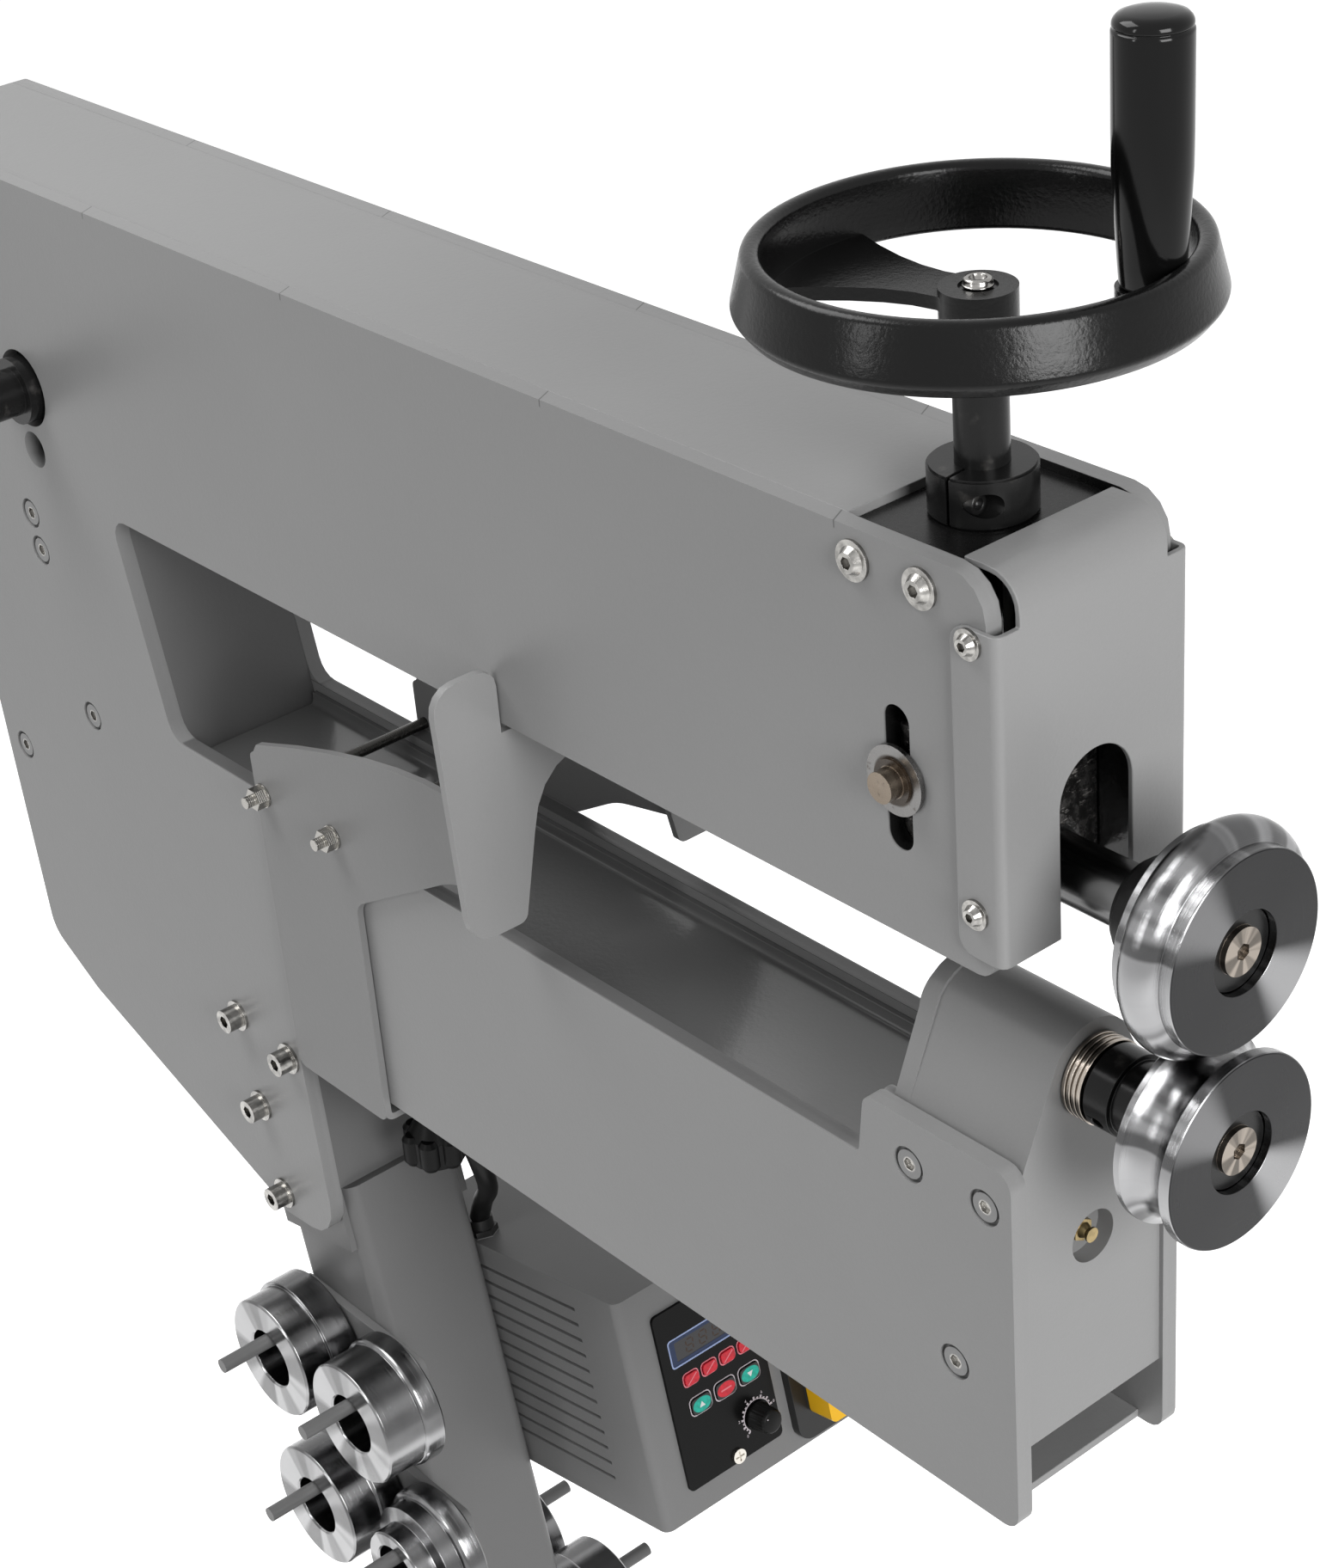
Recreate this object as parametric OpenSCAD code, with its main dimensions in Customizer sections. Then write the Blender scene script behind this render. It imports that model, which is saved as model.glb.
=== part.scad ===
// Motor driven bead roller on a leaning column stand.
// X runs forward to the forming rolls, Y runs to the far side and Z runs up.
// The origin is the middle of the floor plate's footprint, on the floor.

/* [Frame] */
// Width of both arms over the outer faces of the side plates
arm_w = 92.6; // [88:0.2:100]
// Thickness of the two C shaped side plates
plate_t = 8; // [6:0.5:10]
// Height of the top of the upper arm above the floor
arm_top = 1239; // [1210:1:1260]
// Height of the upper arm
upper_arm_h = 160.5; // [155:0.5:166]
// Height of the throat between the two arms
throat_h = 114.6; // [108:0.2:122]
// Height of the lower arm
lower_arm_h = 145.2; // [140:0.2:152]
// Distance from the middle of the stand to the front of the head
head_x = 398; // [390:1:410]
// Distance from the middle of the stand back to the rear of the frame
rear_x = 398.5; // [380:0.5:410]

/* [Rolls] */
// Height of the upper roll shaft above the floor
upper_axis = 1103.1; // [1100:0.1:1106]
// Height of the lower roll shaft above the floor
lower_axis = 1017.6; // [1015:0.1:1019]
// Radius of the plain shoulders of the rolls
shoulder_r = 39.2; // [37:0.1:40]
// Width of each forming roll
roll_w = 27; // [26:0.5:30]
// Height of the bead that the upper roll presses
bead_h = 6.7; // [4:0.1:7]
// Bore of every roll
roll_bore_d = 33; // [30:0.5:34]

/* [Handwheel] */
// Largest diameter of the handwheel's rim
wheel_d = 170; // [150:1:180]
// Length of the hand grip
grip_len = 92; // [70:1:100]
// Length of the plain lower end of the pressing screw
screw_end_l = 81; // [78:1:84]

/* [Stand] */
// Angle by which the column leans back from the vertical
lean = 11.24; // [9:0.01:13]
// Width of the square column
col_w = 70; // [66:1:74]
// Length of the floor plate from front to back
base_l = 600; // [500:10:700]
// Width of the floor plate
base_w = 450; // [400:10:560]
// Thickness of the floor plate
base_t = 12; // [8:1:16]

/* [Speed control] */
// Width of the control box away from the column
box_w = 165; // [150:1:180]
// Height of the control box along the column
box_h = 140.5; // [135:0.5:150]
// Depth of the control box from front to back
box_d = 187.5; // [170:0.5:195]

/* [Fence] */
// Distance from the middle of the stand to the back of the stop plate
fence_x = 98; // [96:1:102]
// Thickness of the stop plate
stop_t = 4; // [3:0.5:5]

/* [Hidden] */
$fn = 48;
half = arm_w / 2;
inner = half - plate_t;
upper_under = arm_top - upper_arm_h;
lower_top = upper_under - throat_h;
lower_under = lower_top - lower_arm_h;
plate_front = head_x - 7;
lower_front = head_x - 1.5;
running = 0.05;
free_gap = 0.5;

// Length of the unit vector and the left hand normal of a line in a plane
function unit(v) = v / norm(v);
function normal(a, b) = let (d = unit(b - a)) [-d.y, d.x];

// Arc points that round the corner b between a and c with radius r
function corner(a, b, c, r, n) =
    r == 0 ? [b] :
    let (u = unit(a - b), v = unit(c - b), h = acos(u * v) / 2,
         m = b + unit(u + v) * r / sin(h),
         s = b + u * r / tan(h) - m, e = b + v * r / tan(h) - m,
         a0 = atan2(s.y, s.x), turn = (atan2(e.y, e.x) - a0 + 540) % 360 - 180)
    [for (k = [0:n]) m + r * [cos(a0 + turn * k / n), sin(a0 + turn * k / n)]];

function flat_point(p) = [p.x, p.y];

// Closed outline whose points are [x, y, corner radius]
function rounded(p, n = 4) =
    let (m = len(p))
    [for (i = [0:m - 1])
        let (before = flat_point(p[(i + m - 1) % m]), after = flat_point(p[(i + 1) % m]))
        each corner(before, flat_point(p[i]), after, p[i][2], n)];

// Open line whose inner points are [x, y, bend radius]
function bent(p, n = 4) =
    let (m = len(p))
    concat([flat_point(p[0])],
        [for (i = [1:1:m - 2])
            each corner(flat_point(p[i - 1]), flat_point(p[i]), flat_point(p[i + 1]), p[i][2], n)],
        [flat_point(p[m - 1])]);

// Point i of a line, moved to its left by t along the mitre
function shifted(p, i, t) =
    i == 0 ? p[0] + t * normal(p[0], p[1]) :
    i == len(p) - 1 ? p[i] + t * normal(p[i - 1], p[i]) :
    let (n1 = normal(p[i - 1], p[i]), n2 = normal(p[i], p[i + 1]))
    p[i] + t * (n1 + n2) / (1 + n1 * n2);

// Outline of a sheet of thickness t that lies to the left of a bent line
function sheet(p, t) = concat(p, [for (i = [len(p) - 1:-1:0]) shifted(p, i, t)]);

// Curve from a to c that is drawn towards b
function curve(a, b, c, n = 6) =
    [for (k = [0:n]) let (t = k / n) (1 - t) * (1 - t) * a + 2 * t * (1 - t) * b + t * t * c];

// Profile in the XZ plane made into a body from y0 to y0 + t
module side_body(y0, t) {
    translate([0, y0 + t, 0]) rotate([90, 0, 0]) linear_extrude(t) children();
}

// Profile in the YZ plane made into a body from x0 to x0 + t
module cross_body(x0, t) {
    translate([x0, 0, 0]) rotate([90, 0, 90]) linear_extrude(t) children();
}

// Round bar along Y from y0 to y1
module bar_y(x, z, r, y0, y1) {
    translate([x, y0, z]) rotate([-90, 0, 0]) cylinder(r = r, h = y1 - y0);
}

// Round bar along X from x0 to x1
module bar_x(y, z, r, x0, x1) {
    translate([x0, y, z]) rotate([0, 90, 0]) cylinder(r = r, h = x1 - x0);
}

// Six sided socket of a screw, cut along Z from the origin downwards
module hex_socket(across, deep) {
    translate([0, 0, -deep]) cylinder(d = across / cos(30), h = deep + 1, $fn = 6);
}

// The rear edge leans, so that the foot of the frame is further forward
foot_x = -358.3;
foot_z = 776.5;
function rear_at(z) = -rear_x + (arm_top - z) * (foot_x + rear_x) / (arm_top - foot_z);
throat_rear_top = -209.7;
throat_rear_low = -184;
tongue_end = [-99.1, 693];
tongue_top = [-109, lower_under];
head_tooth_x = 317;
head_tooth_top = 993.7;

// Recessed screws of the side plates, as [x, z]
plate_screws = [[-292.5, 1055], [-288.8, 1035.3], [-265.6, 947.1], [-350.1, 898.4],
    [341.3, 971.9], [382.1, 972.8], [363.2, 887]];
// Cap screws through the tongue and the column, as [x, z]
tongue_screws = [[-163.6, 807.5], [-154.8, 754.7], [-145.1, 702.5], [-118.5, 802]];
recess_r = 8;
recess_deep = 2.5;

lift_hole = [-275.4, 1128.3];
lift_hole_r = 20;
spare_hole = [-275, 1095.3];
spare_hole_r = 9.5;

pin_x = 345;
pin_axis = 1145.4;
slot_w = 13;
slot_low = 1115.5;
slot_top = 1175.3;

module plate_outline() {
    polygon(rounded([
        [rear_at(arm_top), arm_top, 6],
        [plate_front, arm_top, 17],
        [plate_front, upper_under, 8],
        [throat_rear_top, upper_under, 10],
        [throat_rear_low, lower_top, 12],
        [head_tooth_x - 4, lower_top, 2],
        [head_tooth_x, head_tooth_top, 6],
        [lower_front, head_tooth_top, 8],
        [lower_front, lower_under, 8],
        [tongue_top.x, tongue_top.y, 4],
        [tongue_end.x, tongue_end.y, 24],
        [-150, tongue_end.y - 4, 14],
        [-163.3, 696.8, 6],
        [-318.5, 753.5, 20],
        [foot_x, foot_z, 18]
    ]));
}

module side_plate(side) {
    outer_y = side * half;
    color("gray") difference() {
        side_body(side > 0 ? inner : -half, plate_t) plate_outline();
        bar_y(lift_hole.x, lift_hole.y, lift_hole_r, -half - 1, half + 1);
        bar_y(spare_hole.x, spare_hole.y, spare_hole_r, -half - 1, half + 1);
        bar_y(pin_x, slot_low + slot_w / 2, slot_w / 2, -half - 1, half + 1);
        bar_y(pin_x, slot_top - slot_w / 2, slot_w / 2, -half - 1, half + 1);
        translate([pin_x - slot_w / 2, -half - 1, slot_low + slot_w / 2])
            cube([slot_w, arm_w + 2, slot_top - slot_low - slot_w]);
        for (s = plate_screws)
            bar_y(s.x, s.y, recess_r, outer_y - recess_deep, outer_y + recess_deep);
    }
}

// Bent sheet that closes the top and the rear between the side plates
cover_t = 5;
cover_front = 316;

module frame_cover() {
    color("darkgray") side_body(-inner, 2 * inner)
        polygon(sheet(bent([
            [cover_front, arm_top, 0],
            [rear_at(arm_top), arm_top, 6],
            [foot_x, foot_z, 18],
            [-318.5, 753.5, 20],
            [-176, 701.4, 0]
        ]), cover_t));
}

// Bent sheet along the underside of the upper arm and the back of the throat
lining_t = 4;
trough_z = 950;

module throat_lining() {
    color("gray") side_body(-inner, 2 * inner)
        polygon(sheet(bent([
            [300, upper_under, 0],
            [throat_rear_top, upper_under, 10],
            [throat_rear_low + 3, trough_z, 0]
        ]), -lining_t));
}

// Shallow trough between the plates along the top of the lower arm
trough_t = 3;
trough_lip = 9;
end_plate_back = 325;

module trough_lining() {
    w = inner;
    color("dimgray") cross_body(throat_rear_low + 3.5, end_plate_back - throat_rear_low - 3.5)
        polygon(sheet(bent([
            [-w, trough_z + trough_lip, 0],
            [-w, trough_z, 5],
            [w, trough_z, 5],
            [w, trough_z + trough_lip, 0]
        ]), trough_t));
}

// Plate across the inside of the lower arm, with the hole for the cable
cross_z = 819.2;
cross_t = 3.8;
cross_front = head_x - 14.5;
cross_back = -118;
cable_x = -110;
cable_y = 22;
cable_r = 5.5;

module lower_cross_plate() {
    color("gray") difference() {
        translate([cross_back, -inner, cross_z]) cube([cross_front - cross_back, 2 * inner, cross_t]);
        translate([cable_x, cable_y, cross_z - 1]) cylinder(r = cable_r + 1.5, h = cross_t + 2);
    }
}

// Flat head screw that stands along Y in a recess, facing the given side
module recessed_screw(x, z, side) {
    translate([x, side * (half - recess_deep), z]) rotate([-90 * side, 0, 0]) difference() {
        cylinder(r = 6.4, h = 2);
        translate([0, 0, 2]) hex_socket(5, 1.5);
    }
}

// Socket cap screw with a washer, facing along Y
module cap_screw(x, z, side) {
    translate([x, side * half, z]) rotate([-90 * side, 0, 0]) {
        cylinder(r = 8.5, h = 1.6);
        translate([0, 0, 1.6]) difference() {
            cylinder(r = 6.4, h = 8);
            translate([0, 0, 8]) hex_socket(6, 4);
        }
    }
}

// Flanged button screw, facing along Y
module button_screw(x, z, y0, r, side) {
    translate([x, side * y0, z]) rotate([-90 * side, 0, 0]) difference() {
        union() {
            cylinder(r = r, h = 1.4);
            translate([0, 0, 1.4]) cylinder(r1 = r * 0.72, r2 = r * 0.5, h = 2.6);
        }
        translate([0, 0, 4]) hex_socket(r * 0.55, 2.2);
    }
}

head_plate_screws = [[326.6, 1226.5], [360, 1226.5]];
cover_screws = [[385.1, 1214.5], [385.1, 1106.2]];
cover_sheet_t = 2.4;

module frame_screws() {
    color("silver") {
        for (side = [-1, 1]) {
            for (s = plate_screws) recessed_screw(s.x, s.y, side);
            for (s = tongue_screws) cap_screw(s.x, s.y, side);
            for (s = head_plate_screws) button_screw(s.x, s.y, half, 8, side);
            for (s = cover_screws) button_screw(s.x, s.y, half + cover_sheet_t, 6, side);
        }
    }
}

// Bar across the rear of the frame, with a flange outside each plate
lift_bar_r = 12;
lift_flange_r = 17;
lift_reach = 60;

module lifting_bar() {
    color("black") {
        bar_y(lift_hole.x, lift_hole.y, lift_bar_r, -half - lift_reach, half + lift_reach);
        bar_y(lift_hole.x, lift_hole.y, lift_flange_r, -half - 6, half + 6);
        bar_y(lift_hole.x, lift_hole.y, lift_hole_r + 6, -inner, inner);
    }
}

// Head cover: a folded front with side flanges and a tongue bent over the top
cover_low = 1087;
cover_top = 1220;
flange_back = 375.7;
tongue_half = 37;
tongue_back = 372;
arch_half = 18.75;
arch_axis = 1140;

module head_cover() {
    outer_y = half + cover_sheet_t;
    color("gray") difference() {
        union() {
            intersection() {
                translate([0, 0, cover_low]) linear_extrude(cover_top - cover_low)
                    polygon(sheet(bent([
                        [flange_back, -outer_y, 0],
                        [head_x, -outer_y, 4],
                        [head_x, outer_y, 4],
                        [flange_back, outer_y, 0]
                    ]), cover_sheet_t));
                side_body(-arm_w, 2 * arm_w) polygon(rounded([
                    [flange_back, cover_low, 7],
                    [head_x + 1, cover_low, 0],
                    [head_x + 1, cover_top, 0],
                    [flange_back, cover_top, 7]
                ]));
            }
            side_body(-tongue_half, 2 * tongue_half)
                polygon(sheet(bent([
                    [head_x, cover_top - 10, 0],
                    [head_x, arm_top, 14],
                    [tongue_back, arm_top, 0]
                ], 6), cover_sheet_t));
        }
        bar_x(0, arch_axis, arch_half, head_x - 10, head_x + 1);
        translate([head_x - 10, -arch_half, cover_low - 1])
            cube([11, 2 * arch_half, arch_axis - cover_low + 1]);
    }
}

// Black plate sunk in the top of the head, which carries the screw
head_plate_z = 1229.5;
head_plate_t = 6;
spindle_r = 10;

module head_plate() {
    color("black") difference() {
        translate([cover_front, -inner, head_plate_z])
            cube([tongue_back - 0.5 - cover_front, 2 * inner, head_plate_t]);
        translate([pin_x, 0, head_plate_z - 1])
            cylinder(r = spindle_r + running, h = head_plate_t + 2);
    }
}

// Lower head: a cap with a round top that carries the lower roll shaft
cap_front = head_x - 3.5;
cap_back = 333;
cap_top_r = 23;
cap_shoulder = 989;
cap_low = 856.5;
cap_floor = 925;
cap_wall = 5;
shaft_r = 12.5;
nipple_z = 940.6;

module head_outline(r, low, half_w) {
    tilt = 50;
    polygon(concat(
        [[-half_w, low], [half_w, low], [half_w, cap_shoulder]],
        [for (a = [90 - tilt:tilt / 4:90 + tilt]) [r * cos(a), lower_axis + r * sin(a)]],
        [[-half_w, cap_shoulder]]));
}

module lower_head_cap() {
    color("gray") difference() {
        cross_body(cap_back, cap_front - cap_back) head_outline(cap_top_r, cap_low, inner);
        translate([cap_back - 1, -inner - 1, cap_low - 1])
            cube([cap_front - cap_wall - cap_back + 1, 2 * inner + 2, cap_floor - cap_low + 1]);
        bar_x(0, lower_axis, shaft_r + running, cap_back - 1, cap_front + 1);
        bar_x(0, nipple_z, 11.5, cap_front - 8, cap_front + 1);
    }
}

module head_end_plate() {
    color("gray") {
        difference() {
            cross_body(end_plate_back, cap_back - end_plate_back) head_outline(cap_top_r + 1.5, 900, inner);
            bar_x(0, lower_axis, shaft_r + running, end_plate_back - 1, cap_back + 1);
        }
        for (side = [-1, 1])
            bar_x(side * 33, 985.5, 5, end_plate_back - 8, end_plate_back);
    }
}

// Ringed bush round the lower shaft in front of the cap
bush_r = 17.6;
bush_len = 10;
bush_rings = 4;

module lower_bush() {
    ring = bush_len / bush_rings;
    color("silver") difference() {
        union() {
            bar_x(0, lower_axis, bush_r - 1, cap_front, cap_front + bush_len);
            for (k = [0:bush_rings - 1])
                bar_x(0, lower_axis, bush_r, cap_front + k * ring + 0.7, cap_front + (k + 1) * ring);
        }
        bar_x(0, lower_axis, shaft_r + running, cap_front - 1, cap_front + bush_len + 1);
    }
}

module grease_nipple() {
    color("goldenrod") translate([cap_front - 8, 0, nipple_z]) rotate([0, 90, 0]) {
        cylinder(r = 5.2, h = 3, $fn = 6);
        translate([0, 0, 3]) cylinder(r1 = 3.4, r2 = 2.2, h = 2.5);
        translate([0, 0, 5.5]) cylinder(r1 = 2.2, r2 = 3.2, h = 1.2);
        translate([0, 0, 6.7]) cylinder(r = 3.2, h = 1);
    }
}

// Stand: a square column that leans back from a floor plate
foot_shift = 6.3;
bolt_x = base_l / 2 - 40;
bolt_y = base_w / 2 - 40;
bolt_hole_r = 6.5;
gusset_h = 120;
gusset_l = 90;
gusset_t = 8;

// Places children in the frame of the column, whose X faces forward and Z runs up along it
module on_column() {
    translate([foot_shift, 0, 0]) rotate([0, -lean, 0]) children();
}

module stand_base() {
    color("gray") {
        difference() {
            linear_extrude(base_t) polygon(rounded([
                [-base_l / 2, -base_w / 2, 20], [base_l / 2, -base_w / 2, 20],
                [base_l / 2, base_w / 2, 20], [-base_l / 2, base_w / 2, 20]]));
            for (x = [-bolt_x, bolt_x], y = [-bolt_y, bolt_y])
                translate([x, y, -1]) cylinder(r = bolt_hole_r, h = base_t + 2);
        }
        for (side = [-1, 1]) {
            translate([foot_shift - 12, 0, 0]) cross_body(-gusset_t / 2, gusset_t) polygon([
                [side * col_w / 2, base_t],
                [side * (col_w / 2 + gusset_l), base_t],
                [side * col_w / 2, base_t + gusset_h]
            ]);
        }
        front = foot_shift + (col_w / 2) / cos(lean);
        side_body(-gusset_t / 2, gusset_t) polygon([
            [front - base_t * tan(lean), base_t],
            [front + gusset_l, base_t],
            [front - (base_t + gusset_h) * tan(lean), base_t + gusset_h]
        ]);
        back = foot_shift - (col_w / 2) / cos(lean);
        side_body(-gusset_t / 2, gusset_t) polygon([
            [back - base_t * tan(lean), base_t],
            [back - gusset_l, base_t],
            [back - (base_t + gusset_h) * tan(lean), base_t + gusset_h]
        ]);
    }
}

column_wall = 5;
column_top = 727;
neck_top = 860;
neck_low_end = 690;
neck_step = 6;

module column() {
    color("gray") difference() {
        union() {
            on_column() translate([0, 0, -20]) linear_extrude(column_top + 20) polygon(rounded([
                [-col_w / 2, -col_w / 2, 8], [col_w / 2, -col_w / 2, 8],
                [col_w / 2, col_w / 2, 8], [-col_w / 2, col_w / 2, 8]], 6));
            on_column() translate([-col_w / 2, -inner, neck_low_end])
                cube([col_w - neck_step, 2 * inner, neck_top - neck_low_end]);
        }
        on_column() translate([-col_w / 2 + column_wall, -col_w / 2 + column_wall, -30])
            cube([col_w - neck_step - 2 * column_wall, col_w - 2 * column_wall, neck_top + 60]);
        translate([-base_l, -base_w, base_t - 100]) cube([2 * base_l, 2 * base_w, 100]);
    }
}

// Racks for spare rolls: a level bar on the side of the column with two pins welded to it
rack_pitch = 75;
rack_l = 110;
rack_h = 32;
rack_t = 5;
rack_pin_r = 4;
rack_reach = 105;
rack_in = col_w / 2;
rack_out = rack_in + rack_t;
// Each rack as [middle x, pin height, side]
racks = [[-100.8, 622.5, -1], [-77, 533, -1], [-98, 405, 1]];

module roll_racks() {
    color("gray") for (r = racks)
        side_body(r[2] > 0 ? rack_in : -rack_out, rack_t) polygon(rounded([
            [r[0] - rack_l / 2, r[1] - rack_h / 2, 6], [r[0] + rack_l / 2, r[1] - rack_h / 2, 6],
            [r[0] + rack_l / 2, r[1] + rack_h / 2, 6], [r[0] - rack_l / 2, r[1] + rack_h / 2, 6]]));
}

module rack_pins() {
    color("gray") for (r = racks, dx = [-rack_pitch / 2, rack_pitch / 2]) {
        y0 = r[2] > 0 ? rack_out : -rack_reach;
        bar_y(r[0] + dx, r[1], rack_pin_r, y0, y0 + rack_reach - rack_out);
    }
}

// Control box on the far side of the column, in the column's frame
box_front = 152.5;
box_low = 518.3;
box_near = col_w / 2;
vents = 12;
vent_pitch = 9.55;
vent_low = 538;
vent_h = 2;
vent_deep = 4;
vent_front = 114;
gland_x = 25;
gland_y = 44;
gland_r = 8.5;
gland_h = 10;

// Rectangle with round corners, centred on a point of the box's front
module front_pad(y, z, w, h, r, x0, t) {
    translate([x0, y, z]) cross_body(0, t) polygon(rounded([
        [-w / 2, -h / 2, r], [w / 2, -h / 2, r], [w / 2, h / 2, r], [-w / 2, h / 2, r]]));
}

plate_y = 87;
plate_z = 587.8;
plate_w = 66;
plate_h = 107;
panel_t = 2;

module control_box() {
    color("gray") on_column() difference() {
        union() {
            translate([0, 0, box_low]) linear_extrude(box_h) polygon(rounded([
                [box_front - box_d, box_near, 3], [box_front, box_near, 5],
                [box_front, box_near + box_w, 5], [box_front - box_d, box_near + box_w, 3]]));
            translate([gland_x, gland_y, box_low + box_h]) {
                cylinder(r = gland_r, h = 4, $fn = 6);
                cylinder(r = gland_r - 1.8, h = gland_h);
            }
        }
        for (k = [0:vents - 1])
            translate([-8, box_near - 1, vent_low + k * vent_pitch])
                cube([vent_front + 8, vent_deep + 1, vent_h]);
        front_pad(plate_y, plate_z, plate_w - 4, plate_h - 4, 2, box_front - 8, 9);
    }
}

// Keys, knob and screw of the speed controller, as places on the plate
small_keys = [70, 82.6, 95.2, 107.8];
small_key_z = 597.3;
small_key_w = 9.2;
small_key_h = 6.6;
large_keys = [72.5, 89.5, 106.5];
large_key_z = 580.3;
large_key_w = 13;
large_key_h = 9.4;
key_gap = 0.35;
key_proud = 1.3;
key_deep = 1.5;
knob_y = 106;
knob_z = 554.3;
knob_r = 10;
pot_r = 3;
window_y = 87;
window_z = 615.5;
window_w = 54;
window_h = 17;

module controller_plate() {
    color("black") on_column() {
        difference() {
            union() {
                front_pad(plate_y, plate_z, plate_w, plate_h, 3, box_front, panel_t);
                front_pad(plate_y, plate_z, plate_w - 5, plate_h - 5, 2, box_front - 7.5, 3);
            }
            for (y = small_keys)
                front_pad(y, small_key_z, small_key_w + 2 * key_gap, small_key_h + 2 * key_gap, 2.4,
                    box_front - 1, panel_t + 2);
            for (y = large_keys)
                front_pad(y, large_key_z, large_key_w + 2 * key_gap, large_key_h + 2 * key_gap, 3,
                    box_front - 1, panel_t + 2);
            front_pad(window_y, window_z, window_w, window_h, 2, box_front + panel_t - 0.6, 1);
            bar_x(knob_y, knob_z, pot_r + running, box_front - 8, box_front + panel_t + 1);
        }
        translate([box_front + panel_t, plate_y + 1.5, 538.3]) rotate([0, 90, 0]) difference() {
            cylinder(r = 4.2, h = 1.6);
            translate([0, 0, 1.6]) cube([6, 1, 1.6], center = true);
            translate([0, 0, 1.6]) cube([1, 6, 1.6], center = true);
        }
    }
}

module key(y, z, w, h, r) {
    on_column() front_pad(y, z, w, h, r, box_front + panel_t + key_proud - key_deep - 1, key_deep + 1);
}

module small_key(k) {
    color("firebrick") key(small_keys[k], small_key_z, small_key_w, small_key_h, 2);
}

module large_key(k, shade) {
    color(shade) key(large_keys[k], large_key_z, large_key_w, large_key_h, 2.6);
}

knob_len = 13;
knob_flutes = 12;

module speed_knob() {
    x0 = box_front + panel_t + free_gap;
    color("black") on_column() translate([0, knob_y, knob_z]) {
        bar_x(0, 0, pot_r, box_front - 4, x0 + 1);
        difference() {
            bar_x(0, 0, knob_r, x0, x0 + knob_len);
            for (k = [0:knob_flutes - 1]) rotate([k * 360 / knob_flutes, 0, 0])
                bar_x(0, knob_r + 1.6, 2.4, x0 + 2, x0 + knob_len + 1);
            translate([x0 + knob_len, 0, knob_r / 2]) cube([1, 1.2, knob_r], center = true);
        }
    }
}

// Switch box: a black rim with a raised cover that carries two buttons
switch_y = 157;
switch_z = 562;
switch_w = 58;
switch_h = 76;
switch_rim_t = 6;
cover_w = 40;
cover_h = 50;
cover_z = 564;
cover_reach = 19;
button_w = 17;
button_h = 15;
button_gap = 0.4;
button_reach = 3;
button_deep = 8;
start_z = 576;
stop_z = 552;

module switch_housing() {
    color("gold") on_column() difference() {
        union() {
            front_pad(switch_y, switch_z, switch_w, switch_h, 9, box_front, switch_rim_t);
            front_pad(switch_y, cover_z, cover_w, cover_h, 4, box_front, switch_rim_t + cover_reach);
        }
        for (z = [start_z, stop_z])
            front_pad(switch_y, z, button_w + 2 * button_gap, button_h + 2 * button_gap, 2.4,
                box_front + switch_rim_t + cover_reach - button_deep, button_deep + 1);
    }
}

module switch_button(z, shade) {
    x0 = box_front + switch_rim_t + cover_reach - button_deep + 4;
    color(shade) on_column()
        front_pad(switch_y, z, button_w, button_h, 2, x0, button_deep - 4 + button_reach);
}

// Cable from the lower arm down to the gland on the box
gland_top = [foot_shift + gland_x * cos(lean) - (box_low + box_h + gland_h) * sin(lean), gland_y,
    gland_x * sin(lean) + (box_low + box_h + gland_h) * cos(lean)];
cable_end = gland_top + 0.4 * [-sin(lean), 0, cos(lean)];
cable_run = [[cable_x, cable_y, 850], [cable_x, cable_y, 820], [cable_x, cable_y, 790], [-98, 24, 762],
    [-78, 26, 742], [-69, 29, 718], [-76, 36, 697], [-91, 42, 678], cable_end];
cable_sides = 10;
cable_steps = 4;

// Smooth point between the points i and i + 1 of a run
function run_point(p, i, t) =
    let (a = p[max(i - 1, 0)], b = p[i], c = p[i + 1], d = p[min(i + 2, len(p) - 1)])
    0.5 * (2 * b + t * (c - a) + t * t * (2 * a - 5 * b + 4 * c - d) + t * t * t * (3 * b - a - 3 * c + d));

function run_points(p, n) =
    concat([for (i = [0:len(p) - 2], k = [0:n - 1]) run_point(p, i, k / n)], [p[len(p) - 1]]);

// Ring of points square to the run at its point i
function run_ring(q, i, r, n) =
    let (t = i == len(q) - 1 ? [sin(lean), 0, -cos(lean)] :
             unit(q[min(i + 1, len(q) - 1)] - q[max(i - 1, 0)]),
         u = unit(cross(t, [0, 1, 0])), v = cross(t, u))
    [for (k = [0:n - 1]) q[i] + r * (cos(k * 360 / n) * u + sin(k * 360 / n) * v)];

module swept_cable(p, r, n) {
    m = len(p);
    polyhedron(
        points = [for (i = [0:m - 1]) each run_ring(p, i, r, n)],
        faces = concat(
            [[for (k = [n - 1:-1:0]) k]],
            [for (i = [0:m - 2], k = [0:n - 1])
                each [[i * n + k, i * n + (k + 1) % n, (i + 1) * n + k],
                    [i * n + (k + 1) % n, (i + 1) * n + (k + 1) % n, (i + 1) * n + k]]],
            [[for (k = [0:n - 1]) (m - 1) * n + k]]));
}

module cable() {
    color("black") swept_cable(run_points(cable_run, cable_steps), cable_r, cable_sides);
}

// Handwheel: a deep rim on one wide web, with a lug for the hand grip
wheel_top = arm_top + 97.8;
wheel_r = wheel_d / 2;
rim_h = 25;
web_z = -20;
web_t = 5;
web_turn = -167;
web_half = 24;
hub_r = 14;
hub_top = -17.8;
hub_low = -38;
nose_r = 7;
grip_turn = 20;
grip_at = wheel_r - 22;
lug_r = 12.5;
lug_top = -10;
grip_pin_r = 4;
grip_pin_top = 74;

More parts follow.
